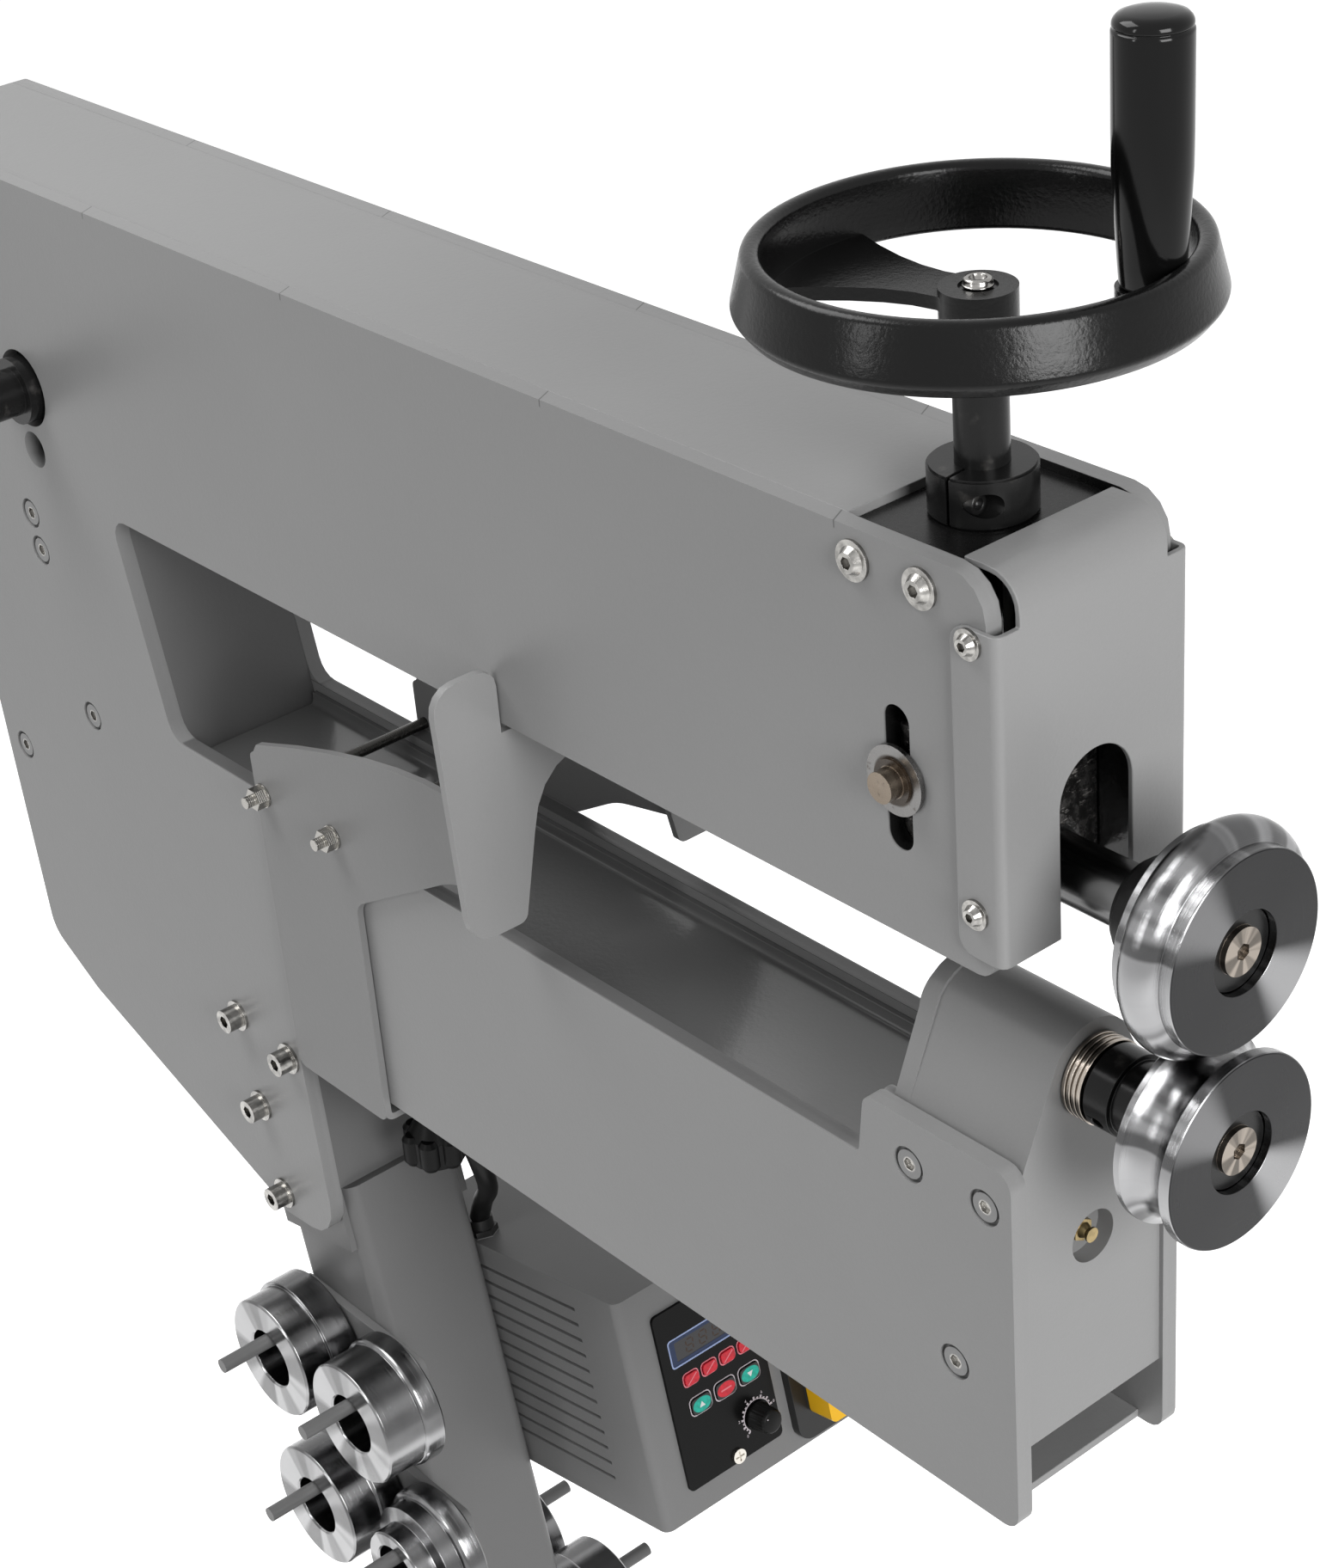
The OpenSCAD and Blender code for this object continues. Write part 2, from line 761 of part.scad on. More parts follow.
function polar(r, a) = [r * cos(a), r * sin(a)];

module handwheel() {
    rim_in = wheel_r - 12;
    color("black") translate([pin_x, 0, wheel_top]) {
        difference() {
            union() {
                rotate_extrude($fn = 96) polygon(rounded([
                    [wheel_r - 13, -rim_h, 2], [wheel_r - 4, -rim_h, 2], [wheel_r, -rim_h + 5, 3],
                    [wheel_r - 5, 0, 3.4], [rim_in + 0.5, 0, 3]]));
                translate([0, 0, web_z - web_t]) linear_extrude(web_t) polygon(concat(
                    curve(polar(hub_r - 1, web_turn + 80), polar(26, web_turn + 8),
                        polar(rim_in + 2, web_turn + web_half)),
                    [for (a = [web_turn + web_half:-8:web_turn - web_half]) polar(rim_in + 3, a)],
                    curve(polar(rim_in + 2, web_turn - web_half), polar(26, web_turn - 8),
                        polar(hub_r - 1, web_turn - 80))));
                translate([0, 0, hub_low]) cylinder(r = hub_r, h = hub_top - hub_low);
                rotate([0, 0, grip_turn]) translate([grip_at, 0, -rim_h + 1]) {
                    cylinder(r = lug_r, h = lug_top + rim_h - 1);
                    translate([0, -lug_r + 1, 0])
                        cube([rim_in - grip_at + 1.5, 2 * lug_r - 2, lug_top + rim_h - 1]);
                }
            }
            translate([0, 0, hub_low - 1]) cylinder(r = nose_r + running, h = hub_top - hub_low + 2);
        }
        rotate([0, 0, grip_turn]) translate([grip_at, 0, lug_top - 1])
            cylinder(r = grip_pin_r, h = grip_pin_top - lug_top + 1);
    }
}

module hand_grip() {
    r_low = 10;
    r_top = 13.6;
    bore = grip_pin_r + running;
    color("black") translate([pin_x, 0, wheel_top]) rotate([0, 0, grip_turn])
        translate([grip_at, 0, lug_top + free_gap]) rotate_extrude($fn = 72) polygon(concat(
            [[bore, 0], [r_low - 1.2, 0], [r_low, 1.2], [r_low + 0.3, 9]],
            curve([r_top, grip_len - 13], [r_top + 0.2, grip_len - 7.5], [r_top - 0.6, grip_len - 5.6], 3),
            curve([r_top - 1, grip_len - 5], [r_top - 2, grip_len - 0.4], [0, grip_len], 5),
            [[0, grip_pin_top + 12], [bore, grip_pin_top + 12]]));
}

// Pressing screw: a plain neck with a ring below the head plate, and a thinner lower end
screw_r = 6;
neck_low = 1222;
thrust_r = 14;

module spindle() {
    hub_z = wheel_top + hub_low;
    color("dimgray") translate([pin_x, 0, 0]) {
        translate([0, 0, hub_z]) cylinder(r = nose_r, h = hub_top - hub_low - 1);
        translate([0, 0, neck_low]) cylinder(r = spindle_r, h = hub_z - neck_low);
        translate([0, 0, neck_low]) cylinder(r = thrust_r, h = head_plate_z - free_gap - neck_low);
        translate([0, 0, neck_low - screw_end_l]) cylinder(r = screw_r, h = screw_end_l);
    }
}

// Clamp collar on the neck, split on one side and drawn together by a screw
collar_r = 20;
collar_h = 18.5;
collar_z = head_plate_z + head_plate_t + free_gap;
slit_turn = -84;
clamp_at = 14.5;

// Places children so that Z points out of the clamp screw's hole
module at_clamp() {
    translate([pin_x, 0, collar_z + collar_h / 2]) rotate([0, 0, slit_turn])
        translate([clamp_at, 0, 0]) rotate([-90, 0, 0]) children();
}

module split_collar() {
    color("black") difference() {
        translate([pin_x, 0, collar_z]) difference() {
            union() {
                cylinder(r = collar_r - 0.8, h = collar_h);
                translate([0, 0, 0.8]) cylinder(r = collar_r, h = collar_h - 1.6);
            }
            translate([0, 0, -1]) cylinder(r = spindle_r + running, h = collar_h + 2);
            rotate([0, 0, slit_turn]) translate([spindle_r - 2, -0.8, -1])
                cube([collar_r, 1.6, collar_h + 2]);
        }
        at_clamp() translate([0, 0, 5]) cylinder(r = 4.6, h = 20);
    }
}

module wheel_screws() {
    color("silver") {
        translate([pin_x, 0, wheel_top + hub_top]) {
            cylinder(r = 8.5, h = 1.5);
            translate([0, 0, 1.5]) difference() {
                cylinder(r = 6.2, h = 5);
                translate([0, 0, 5]) hex_socket(5, 3);
            }
        }
        at_clamp() translate([0, 0, 5]) difference() {
            cylinder(r = 4.3, h = 5);
            translate([0, 0, 5]) hex_socket(4, 3);
        }
    }
}

// Carriage that slides in the head and carries the upper roll shaft
carriage_back = 327;
carriage_front = 363;
carriage_w = 2 * (inner - 0.5);
cheek_in = 22;
carriage_low = 1085;
carriage_mid = 1121;
carriage_top = 1162;
boss_r = 17.5;
boss_front = 374;
pin_r = 6.2;
pin_reach = 56;
nut_r = 13;
nut_half = 20;

module carrier() {
    color("dimgray") difference() {
        union() {
            translate([carriage_back, -carriage_w / 2, carriage_low])
                cube([carriage_front - carriage_back, carriage_w, carriage_top - carriage_low]);
            bar_x(0, upper_axis, boss_r, carriage_front - 1, boss_front);
        }
        translate([carriage_back - 1, -cheek_in, carriage_mid])
            cube([carriage_front - carriage_back + 2, 2 * cheek_in, carriage_top - carriage_mid + 1]);
        bar_x(0, upper_axis, shaft_r + running, carriage_back - 1, boss_front + 1);
        bar_y(pin_x, pin_axis, pin_r + running, -half, half);
    }
}

module cross_pin() {
    color("silver") difference() {
        union() {
            bar_y(pin_x, pin_axis, pin_r, -pin_reach, pin_reach);
            bar_y(pin_x, pin_axis, nut_r, -nut_half, nut_half);
            for (side = [-1, 1])
                translate([pin_x, side * (half + free_gap), pin_axis]) rotate([-90 * side, 0, 0]) {
                    cylinder(r = 14, h = 2);
                    translate([0, 0, 2]) cylinder(r = 9, h = 1.2);
                }
        }
        translate([pin_x, 0, pin_axis - nut_r - 1]) cylinder(r = screw_r + running, h = 2 * nut_r + 2);
    }
}

// Roll shafts with their hubs; the rolls sit on the hub's nose
roll_front = head_x + 69.5;
roll_back = roll_front - roll_w;
bore_r = roll_bore_d / 2;
hub_end = roll_front - 5.5;
shaft_end = roll_front - 6.5;

module upper_shaft() {
    color("silver") {
        bar_x(0, upper_axis, shaft_r, carriage_back - 7, shaft_end);
        bar_x(0, upper_axis, shaft_r + 3, carriage_back - 7, carriage_back - free_gap);
        bar_x(0, upper_axis, shaft_r + 1.5, boss_front + free_gap, boss_front + 2);
    }
}

module upper_hub() {
    color("black") difference() {
        union() {
            bar_x(0, upper_axis, 18, roll_back - 20.5, roll_back - 18);
            bar_x(0, upper_axis, 20, roll_back - 18, roll_back);
            bar_x(0, upper_axis, bore_r - running, roll_back, hub_end);
        }
        bar_x(0, upper_axis, shaft_r + running, roll_back - 22, roll_front);
    }
}

module lower_shaft() {
    color("silver") {
        bar_x(0, lower_axis, shaft_r, end_plate_back - 7, shaft_end);
        bar_x(0, lower_axis, shaft_r + 3, end_plate_back - 7, end_plate_back - free_gap);
    }
}

collar_back = cap_front + bush_len + 1;

module lower_hub() {
    color("black") difference() {
        union() {
            bar_x(0, lower_axis, 17, collar_back, collar_back + 12);
            bar_x(0, lower_axis, 15, collar_back + 12, roll_back - 8);
            bar_x(0, lower_axis, 18.5, roll_back - 8, roll_back);
            bar_x(0, lower_axis, bore_r - running, roll_back, hub_end);
        }
        bar_x(0, lower_axis, shaft_r + running, collar_back - 1, roll_front);
        translate([collar_back + 6, 0, lower_axis]) rotate([115, 0, 0]) cylinder(r = 2.6, h = 20);
    }
}

// Half angle and radius of the arc that is h high over a width of 2 * w
function arc_r(w, h) = (w * w + h * h) / (2 * h);
function arc_half(w, h) = asin(w / arc_r(w, h));

// Ring shaped body along X whose outer edge is a list of [radius, place]
module roll_body(axis_z, x0, edge, w) {
    translate([x0, 0, axis_z]) rotate([0, 90, 0]) rotate_extrude($fn = 120)
        polygon(concat([[bore_r, 0]], edge, [[bore_r, w]]));
}

bead_mid = 12.7;
bead_half = 8.75;
groove_half = 9.4;
groove_h = 6;
edge_cut = 0.6;

module upper_roll() {
    r = arc_r(bead_half, bead_h);
    a = arc_half(bead_half, bead_h);
    color("silver") roll_body(upper_axis, roll_back, concat(
        [[shoulder_r - edge_cut, 0], [shoulder_r, edge_cut]],
        [for (k = [-6:6]) [shoulder_r + bead_h - r + r * cos(a * k / 6), bead_mid + r * sin(a * k / 6)]],
        [[shoulder_r, roll_w - edge_cut], [shoulder_r - edge_cut, roll_w]]), roll_w);
}

module lower_roll() {
    r = arc_r(groove_half, groove_h);
    a = arc_half(groove_half, groove_h);
    color("silver") roll_body(lower_axis, roll_back, concat(
        [[shoulder_r - edge_cut, 0], [shoulder_r, edge_cut]],
        [for (k = [-6:6]) [shoulder_r - groove_h + r - r * cos(a * k / 6), bead_mid + r * sin(a * k / 6)]],
        [[shoulder_r, roll_w - edge_cut], [shoulder_r - edge_cut, roll_w]]), roll_w);
}

module roll_screw(axis_z) {
    color("silver") translate([hub_end, 0, axis_z]) rotate([0, 90, 0]) {
        cylinder(r = bore_r - 0.4, h = 2);
        translate([0, 0, 2]) difference() {
            cylinder(r = 9.5, h = 2.4);
            translate([0, 0, 2.4]) hex_socket(6, 2);
        }
    }
}

// Fence: two side gussets under a stop plate, which slide along the lower arm
fence_in = half + free_gap;
fence_t = 3.5;
fence_out = fence_in + fence_t;
fence_back = -103.9;
fence_low = 809;
foot_t = 3.5;
foot_back = -101.7;
foot_front = -27.3;
clamp_x = -64;
stud_r = 4;
rod_r = 2.9;
rods = [[-96.8, 967.3], [-39.2, 967.3]];

module gusset_outline(low) {
    polygon(concat(
        rounded([[fence_back, 989, 4], [foot_back, low, 5], [foot_front, low, 5],
            [foot_front, 934.5, 11], [54, 981, 50], [fence_x, 990, 0], [fence_x, 1029, 0]]),
        curve([60, 1028], [5, 1029.5], [fence_back + 7, 995])));
}

module gusset(side, low, reach) {
    color("gray") difference() {
        union() {
            side_body(side > 0 ? fence_in : -fence_out, fence_t) gusset_outline(low);
            cross_body(foot_back, foot_front - foot_back) polygon(sheet(bent([
                [side * fence_out, low + 20, 0],
                [side * fence_out, low, 5],
                [side * reach, low, 0]
            ]), -side * foot_t));
        }
        for (r = rods) bar_y(r.x, r.y, rod_r + running, -fence_out - 1, fence_out + 1);
        translate([clamp_x, 0, low - 1]) cylinder(r = stud_r + running, h = foot_t + 2);
    }
}

module gusset_near() {
    gusset(-1, fence_low, -fence_in + 1);
}

module gusset_far() {
    gusset(1, fence_low - foot_t, 14);
}

lobe_out = 80.5;
lobe_foot = 74.5;
lobe_top = 1105.6;
lobe_low = 979;
web_low = 1052;
web_top = upper_under - 4.5;

module stop_plate() {
    in_y = half + free_gap;
    right = concat(
        curve([0, web_low], [30, web_low], [35, 1020], 5),
        rounded([[44.8, lobe_low, 5], [lobe_foot, lobe_low, 14], [lobe_out, lobe_top, 12],
            [in_y, lobe_top, 9], [in_y, web_top, 0], [0, web_top, 0]]));
    color("gray") cross_body(fence_x, stop_t) {
        polygon(right);
        mirror([1, 0]) polygon(right);
    }
}

module fence_rods() {
    color("silver") for (r = rods) {
        bar_y(r.x, r.y, rod_r, -fence_out - 11, fence_out + 11);
        for (side = [-1, 1])
            translate([r.x, side * fence_out, r.y]) rotate([-90 * side, 0, 0]) difference() {
                union() {
                    cylinder(r = 6.2, h = 1.2);
                    translate([0, 0, 1.2]) cylinder(r = 5.8, h = 5.2, $fn = 6);
                }
                translate([0, 0, -1]) cylinder(r = rod_r, h = 9);
            }
    }
}

// Star knob with a threaded stud that clamps the fence against the lower arm
knob_low = 744.5;
knob_h = 17.5;
lobes = 7;
lobe_r = 5.5;
lobe_at = 12.7;
lobe_round = 2.5;
stud_top = cross_z - 1.5;

module star_knob() {
    color("black") translate([clamp_x, 0, knob_low]) {
        cylinder(r = lobe_at + 2, h = knob_h - lobe_round);
        for (k = [0:lobes - 1]) rotate([0, 0, k * 360 / lobes]) translate([lobe_at, 0, 0]) {
            cylinder(r1 = lobe_r - 1.5, r2 = lobe_r, h = lobe_round);
            translate([0, 0, lobe_round]) cylinder(r = lobe_r, h = knob_h - 2 * lobe_round);
            translate([0, 0, knob_h - lobe_round]) cylinder(r1 = lobe_r, r2 = lobe_r - 2, h = lobe_round);
        }
        translate([0, 0, knob_h - lobe_round]) cylinder(r1 = lobe_at + 2, r2 = 8, h = 8 + lobe_round);
        cylinder(r = stud_r, h = stud_top - knob_low);
    }
}

// Spare rolls that hang on the pins, in four shapes; each edge is a list of [radius, place]
spare_w = 35;
spare_r = 36.8;
hang_gap = 0.3;

function spare_edge(kind) =
    kind == 0 ? [[spare_r - 1, 0], [spare_r, 1], [spare_r, 17], [spare_r - 2.2, 17],
        [spare_r - 2.2, spare_w - 1], [spare_r - 3.2, spare_w]] :
    kind == 1 ? concat([[spare_r - 1, 0], [spare_r, 1]],
        curve([spare_r, 10], [spare_r - 0.2, 12], [spare_r - 2, 12.4], 4),
        [[spare_r - 2, spare_w - 1], [spare_r - 3, spare_w]]) :
    kind == 2 ? [[spare_r - 1, 0], [spare_r, 1], [spare_r, 15], [spare_r - 1.2, 16.5],
        [spare_r - 1.2, spare_w - 1], [spare_r - 2.2, spare_w]] :
    concat([[spare_r - 1, 0], [spare_r, 1]],
        curve([spare_r, 10], [spare_r - 0.5, 12.5], [spare_r - 4, 12.8], 4),
        [[spare_r - 4, 22], [25, 23.5], [25, spare_w - 1], [24, spare_w]]);

// Spare roll of a kind on rack r, on its back or front pin
module stored_roll(kind, r, dx) {
    side = r[2];
    axis_z = r[1] + rack_pin_r - bore_r + hang_gap;
    ends = [[bore_r + 1, spare_w], [bore_r, spare_w - 1], [bore_r, 1]];
    color("silver") translate([r[0] + dx * rack_pitch / 2, side * (rack_out + 1), axis_z])
        rotate([-90 * side, 0, 0]) rotate_extrude($fn = 96)
        polygon(concat([[bore_r + 1, 0]], spare_edge(kind), ends));
}

stand_base();
column();
side_plate(-1);  // side_plate_near
side_plate(1);  // side_plate_far
frame_cover();
throat_lining();
trough_lining();
lower_cross_plate();
frame_screws();
lifting_bar();
head_cover();
head_plate();
roll_racks();
rack_pins();
lower_head_cap();
head_end_plate();
lower_bush();
grease_nipple();
control_box();
controller_plate();
switch_housing();
cable();
handwheel();
spindle();
split_collar();
wheel_screws();
hand_grip();
carrier();
cross_pin();
upper_shaft();
upper_hub();
upper_roll();
roll_screw(upper_axis);  // upper_roll_screw
lower_shaft();
lower_hub();
lower_roll();
roll_screw(lower_axis);  // lower_roll_screw
gusset_near();
gusset_far();
stop_plate();
fence_rods();
star_knob();
speed_knob();
small_key(0);  // key_1
small_key(1);  // key_2
small_key(2);  // key_3
small_key(3);  // key_4
large_key(0, "teal");  // key_up
large_key(1, "firebrick");  // key_run
large_key(2, "teal");  // key_down
switch_button(start_z, "green");  // start_button
switch_button(stop_z, "red");  // stop_button
stored_roll(0, racks[0], -1);  // stored_roll_1
stored_roll(1, racks[0], 1);  // stored_roll_2
stored_roll(2, racks[1], -1);  // stored_roll_3
stored_roll(3, racks[1], 1);  // stored_roll_4
stored_roll(2, racks[2], -1);  // stored_roll_5
stored_roll(1, racks[2], 1);  // stored_roll_6
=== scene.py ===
import math

import bmesh
import bpy
from mathutils import Matrix, Vector


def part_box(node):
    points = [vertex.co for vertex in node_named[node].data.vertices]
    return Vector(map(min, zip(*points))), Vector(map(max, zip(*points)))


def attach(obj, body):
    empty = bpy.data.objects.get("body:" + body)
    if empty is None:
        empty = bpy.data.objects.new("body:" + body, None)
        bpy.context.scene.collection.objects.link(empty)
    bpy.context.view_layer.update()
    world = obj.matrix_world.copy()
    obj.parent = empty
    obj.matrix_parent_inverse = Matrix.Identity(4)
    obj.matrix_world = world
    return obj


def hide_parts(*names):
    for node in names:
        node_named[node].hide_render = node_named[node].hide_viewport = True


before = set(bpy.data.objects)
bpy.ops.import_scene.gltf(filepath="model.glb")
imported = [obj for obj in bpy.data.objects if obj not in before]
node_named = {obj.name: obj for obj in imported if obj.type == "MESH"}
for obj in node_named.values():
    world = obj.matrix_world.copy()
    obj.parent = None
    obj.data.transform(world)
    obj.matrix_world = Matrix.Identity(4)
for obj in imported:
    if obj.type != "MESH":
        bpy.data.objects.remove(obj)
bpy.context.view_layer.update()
MM = 0.001

# Camera
# One plain camera without shift, fitted to the photograph from the arms' edges,
# the handwheel's rims and the rolls' rims. Its place is in the part's own frame.
camera_place = Vector((1075.147, -726.331, 1716.606)) * MM
camera_right = Vector((0.64700845, 0.75895059, -0.07330802))
camera_up = Vector((-0.33583101, 0.36996689, 0.86622286))
photo_size = (1536, 1824)
focal_px = 3720.492
sensor_mm = 36

camera_data = bpy.data.cameras.new("photo_camera")
camera_data.sensor_width = sensor_mm
camera_data.lens = focal_px / max(photo_size) * sensor_mm
camera_data.clip_start = 0.05
camera_data.clip_end = 60
camera = bpy.data.objects.new("photo_camera", camera_data)
bpy.context.scene.collection.objects.link(camera)
bpy.context.scene.camera = camera
camera.matrix_world = Matrix.Translation(camera_place) @ Matrix(
    (camera_right, camera_up, camera_right.cross(camera_up))).transposed().to_4x4()

# Floor plate, foot gussets and column
# A rolled steel plate carries a square tube that leans forward, with a gusset on
# each side of its foot. All are welded and powder coated in one satin grey.


class Value:
    """One socket of a node tree, so that a pattern is written as sums and products."""

    def __init__(self, tree, socket):
        self.tree = tree
        self.socket = socket

    def node(self, kind, inputs=None, output=0, **settings):
        """Adds a node: its settings first, then the values and links of its sockets."""
        made = self.tree.nodes.new(kind)
        for name, setting in settings.items():
            setattr(made, name, setting)
        for name, value in (inputs or {}).items():
            if isinstance(value, Value):
                self.tree.links.new(value.socket, made.inputs[name])
            else:
                made.inputs[name].default_value = value
        return Value(self.tree, made.outputs[output])

    def math(self, operation, first, second=0.0):
        return self.node("ShaderNodeMath", {0: first, 1: second}, operation=operation)

    def __add__(self, other):
        return self.math("ADD", self, other)

    def __radd__(self, other):
        return self.math("ADD", other, self)

    def __sub__(self, other):
        return self.math("SUBTRACT", self, other)

    def __rsub__(self, other):
        return self.math("SUBTRACT", other, self)

    def __mul__(self, other):
        return self.math("MULTIPLY", self, other)

    def __rmul__(self, other):
        return self.math("MULTIPLY", other, self)

    def __truediv__(self, other):
        return self.math("DIVIDE", self, other)

    def __rtruediv__(self, other):
        return self.math("DIVIDE", other, self)

    def __abs__(self):
        return self.math("ABSOLUTE", self)

    def at_most(self, limit):
        return self.math("MINIMUM", self, limit)

    def steps(self, low, high):
        """0 below low, 1 above high and a smooth turn between them."""
        return self.node("ShaderNodeMapRange", {"Value": self, "From Min": low, "From Max": high},
                         interpolation_type="SMOOTHSTEP")

    def noise(self, scale, detail=2.0, roughness=0.5):
        """Smooth noise at this place, about 0.5 on average."""
        return self.node("ShaderNodeTexNoise", {"Vector": self, "Scale": scale, "Detail": detail,
                                                "Roughness": roughness})

    def axis(self, name):
        return self.node("ShaderNodeSeparateXYZ", {"Vector": self}, output=name)

    def stretched(self, scale):
        return self.node("ShaderNodeVectorMath", {0: self, 1: scale}, operation="MULTIPLY")

    def along(self, way):
        """How far this place reaches along a way."""
        return self.node("ShaderNodeVectorMath", {0: self, 1: way}, output=1, operation="DOT_PRODUCT")

    def away_from(self, place):
        return self.node("ShaderNodeVectorMath", {0: self, 1: place}, output=1, operation="DISTANCE")

    def blend(self, first, second):
        """Colour that turns from first to second as this value goes from 0 to 1."""
        return self.node("ShaderNodeMix", {0: self, 6: first, 7: second}, output=2, data_type="RGBA")

    def bumped(self, strength, distance):
        """Normal of a surface whose relief is this value."""
        return self.node("ShaderNodeBump", {"Height": self, "Strength": strength, "Distance": distance})


def grey(level, warm=0.0):
    """Neutral colour of a level, a little warm or cool."""
    return (level * (1 + warm), level, level * (1 - warm), 1)


def new_material(name):
    """A material, its shader and the place of each point in the part's frame."""
    material = bpy.data.materials.new(name)
    material.use_nodes = True
    tree = material.node_tree
    shader = next(n for n in tree.nodes if n.type == "BSDF_PRINCIPLED")
    here = Value(tree, None).node("ShaderNodeTexCoord", output="Object")
    return material, shader, here


def feed(shader, **inputs):
    """Sets the shader's inputs: numbers and colours as constants, values as links."""
    for name, value in inputs.items():
        socket = shader.inputs[name.replace("_", " ")]
        if isinstance(value, Value):
            value.tree.links.new(value.socket, socket)
        else:
            socket.default_value = value


def sprayed_powder(here):
    """The slow cloud, the speckled tone and the orange peel of about 2 mm of a powder coat."""
    cloud = here.noise(6, 3)
    tone = cloud.steps(0.3, 0.7) * 0.6 + here.noise(900, 2) * 0.4
    peel = here.noise(430, 1) * 0.6 + here.noise(1100, 1) * 0.25 + here.noise(90, 1) * 0.8
    return cloud, tone, peel


def powder_coat(name, level, roughness, peel, gloss=0.0):
    """Satin powder coat in one tone of grey."""
    material, shader, here = new_material(name)
    cloud, tone, relief = sprayed_powder(here)
    feed(shader, Base_Color=tone.blend(grey(level * 0.94), grey(level * 1.06)),
         Roughness=cloud * 0.08 + (roughness - 0.04), Normal=relief.bumped(peel, 0.5 * MM),
         Specular_IOR_Level=0.25, Coat_Weight=gloss, Coat_Roughness=0.12)
    return material


def closing_group():
    """Joins the faces of a node at their shared edges and shades them smooth up to 30 degrees."""
    group = bpy.data.node_groups.new("closed_and_smooth", "GeometryNodeTree")
    group.interface.new_socket("Geometry", in_out="INPUT", socket_type="NodeSocketGeometry")
    group.interface.new_socket("Geometry", in_out="OUTPUT", socket_type="NodeSocketGeometry")
    start = Value(group, None).node("NodeGroupInput")
    joined = start.node("GeometryNodeMergeByDistance", {"Geometry": start, "Distance": 0.004 * MM})
    plain = joined.node("GeometryNodeRemoveAttribute", {"Geometry": joined, "Name": "custom_normal"})
    round_faces = plain.node("GeometryNodeSetShadeSmooth", {"Geometry": plain, "Shade Smooth": True},
                             domain="FACE")
    angle = plain.node("GeometryNodeInputMeshEdgeAngle")
    sharp = angle.node("FunctionNodeCompare", {0: angle, 1: math.radians(30)}, operation="GREATER_THAN")
    creased = round_faces.node("GeometryNodeSetShadeSmooth",
                               {"Geometry": round_faces, "Selection": sharp, "Shade Smooth": False},
                               domain="EDGE")
    end = group.nodes.new("NodeGroupOutput")
    group.links.new(creased.socket, end.inputs[0])
    return group


closed_and_smooth = closing_group()


def dress(material, edge, *names, segments=2):
    """Gives CAD nodes a material and rounds their edges by a width in millimetres."""
    for name in names:
        node = node_named[name]
        node.data.materials.clear()
        node.data.materials.append(material)
        node.modifiers.new("closed", "NODES").node_group = closed_and_smooth
        if edge:
            bevel = node.modifiers.new("edges", "BEVEL")
            bevel.width = edge * MM
            bevel.segments = segments
            bevel.limit_method = "ANGLE"
            bevel.angle_limit = math.radians(35)
            bevel.harden_normals = True


stand_paint = powder_coat("stand_paint", 0.16, 0.42, 0.12)
dress(stand_paint, 0.8, "column")
dress(stand_paint, 0, "stand_base")

# Roll racks
# Three flat bars are welded across the column, each with two round pins that
# keep the spare rolls. The bars are coated as the column is, the pins darker.
rack_paint = powder_coat("rack_paint", 0.16, 0.45, 0.1)
dress(rack_paint, 0.5, "roll_racks")
dress(powder_coat("pin_paint", 0.12, 0.3, 0.06), 1.2, "rack_pins")

# Control box
# A folded sheet box on the front of the column holds the drive's speed controller.
# It has vents in its near side and a gland of black moulded plastic in its lid.
box_lean = math.radians(11.24)
column_foot = 6.3
lid_rise = 658.8
box_paint = powder_coat("box_paint", 0.18, 0.42, 0.12)
dress(box_paint, 1.2, "control_box", segments=3)


def blacken_gland(material):
    """The gland is black moulded plastic: all that stands over the box's leaning lid."""
    tree = material.node_tree
    shader = next(n for n in tree.nodes if n.type == "BSDF_PRINCIPLED")
    here = Value(tree, None).node("ShaderNodeTexCoord", output="Object")
    rise = here.along((-math.sin(box_lean), 0, math.cos(box_lean))) + column_foot * math.sin(box_lean) * MM
    over = rise.steps((lid_rise + 0.3) * MM, (lid_rise + 0.6) * MM)
    paint = Value(tree, shader.inputs["Base Color"].links[0].from_socket)
    feed(shader, Base_Color=over.blend(paint, grey(0.012)))


blacken_gland(box_paint)

# Speed controller
# A black moulded panel with a dark display window, seven rubber keys, a printed
# dial and a speed knob; a cross recess screw holds it to the box's front.
panel_face = 154.5
dial_centre = (106.0, 554.3)
dial_radius = 9.2
panel_screw = (88.5, 538.3)
small_key_places = (70.0, 82.6, 95.2, 107.8)
large_key_places = (72.5, 89.5, 106.5)
small_key_height = 597.3
large_key_height = 580.3
key_face = panel_face + 0.8
mark_low, mark_high = key_face - 0.1, key_face + 0.56


def on_box(forward, across, upright):
    """Place on the leaning column's frame, in millimetres, as a place of the part in metres."""
    x = column_foot + forward * math.cos(box_lean) - upright * math.sin(box_lean)
    z = forward * math.sin(box_lean) + upright * math.cos(box_lean)
    return Vector((x, across, z)) * MM


def on_screen(centre, half_width, half_height, corner, steps=4):
    """Outline of a rectangle with round corners, as places across and up the box's front."""
    points = []
    for quarter in range(4):
        side = 1 if quarter in (0, 3) else -1
        rise = 1 if quarter in (0, 1) else -1
        for step in range(steps + 1):
            turn = math.pi / 2 * (quarter + step / steps)
            points.append((centre[0] + side * (half_width - corner) + corner * math.cos(turn),
                           centre[1] + rise * (half_height - corner) + corner * math.sin(turn)))
    return points


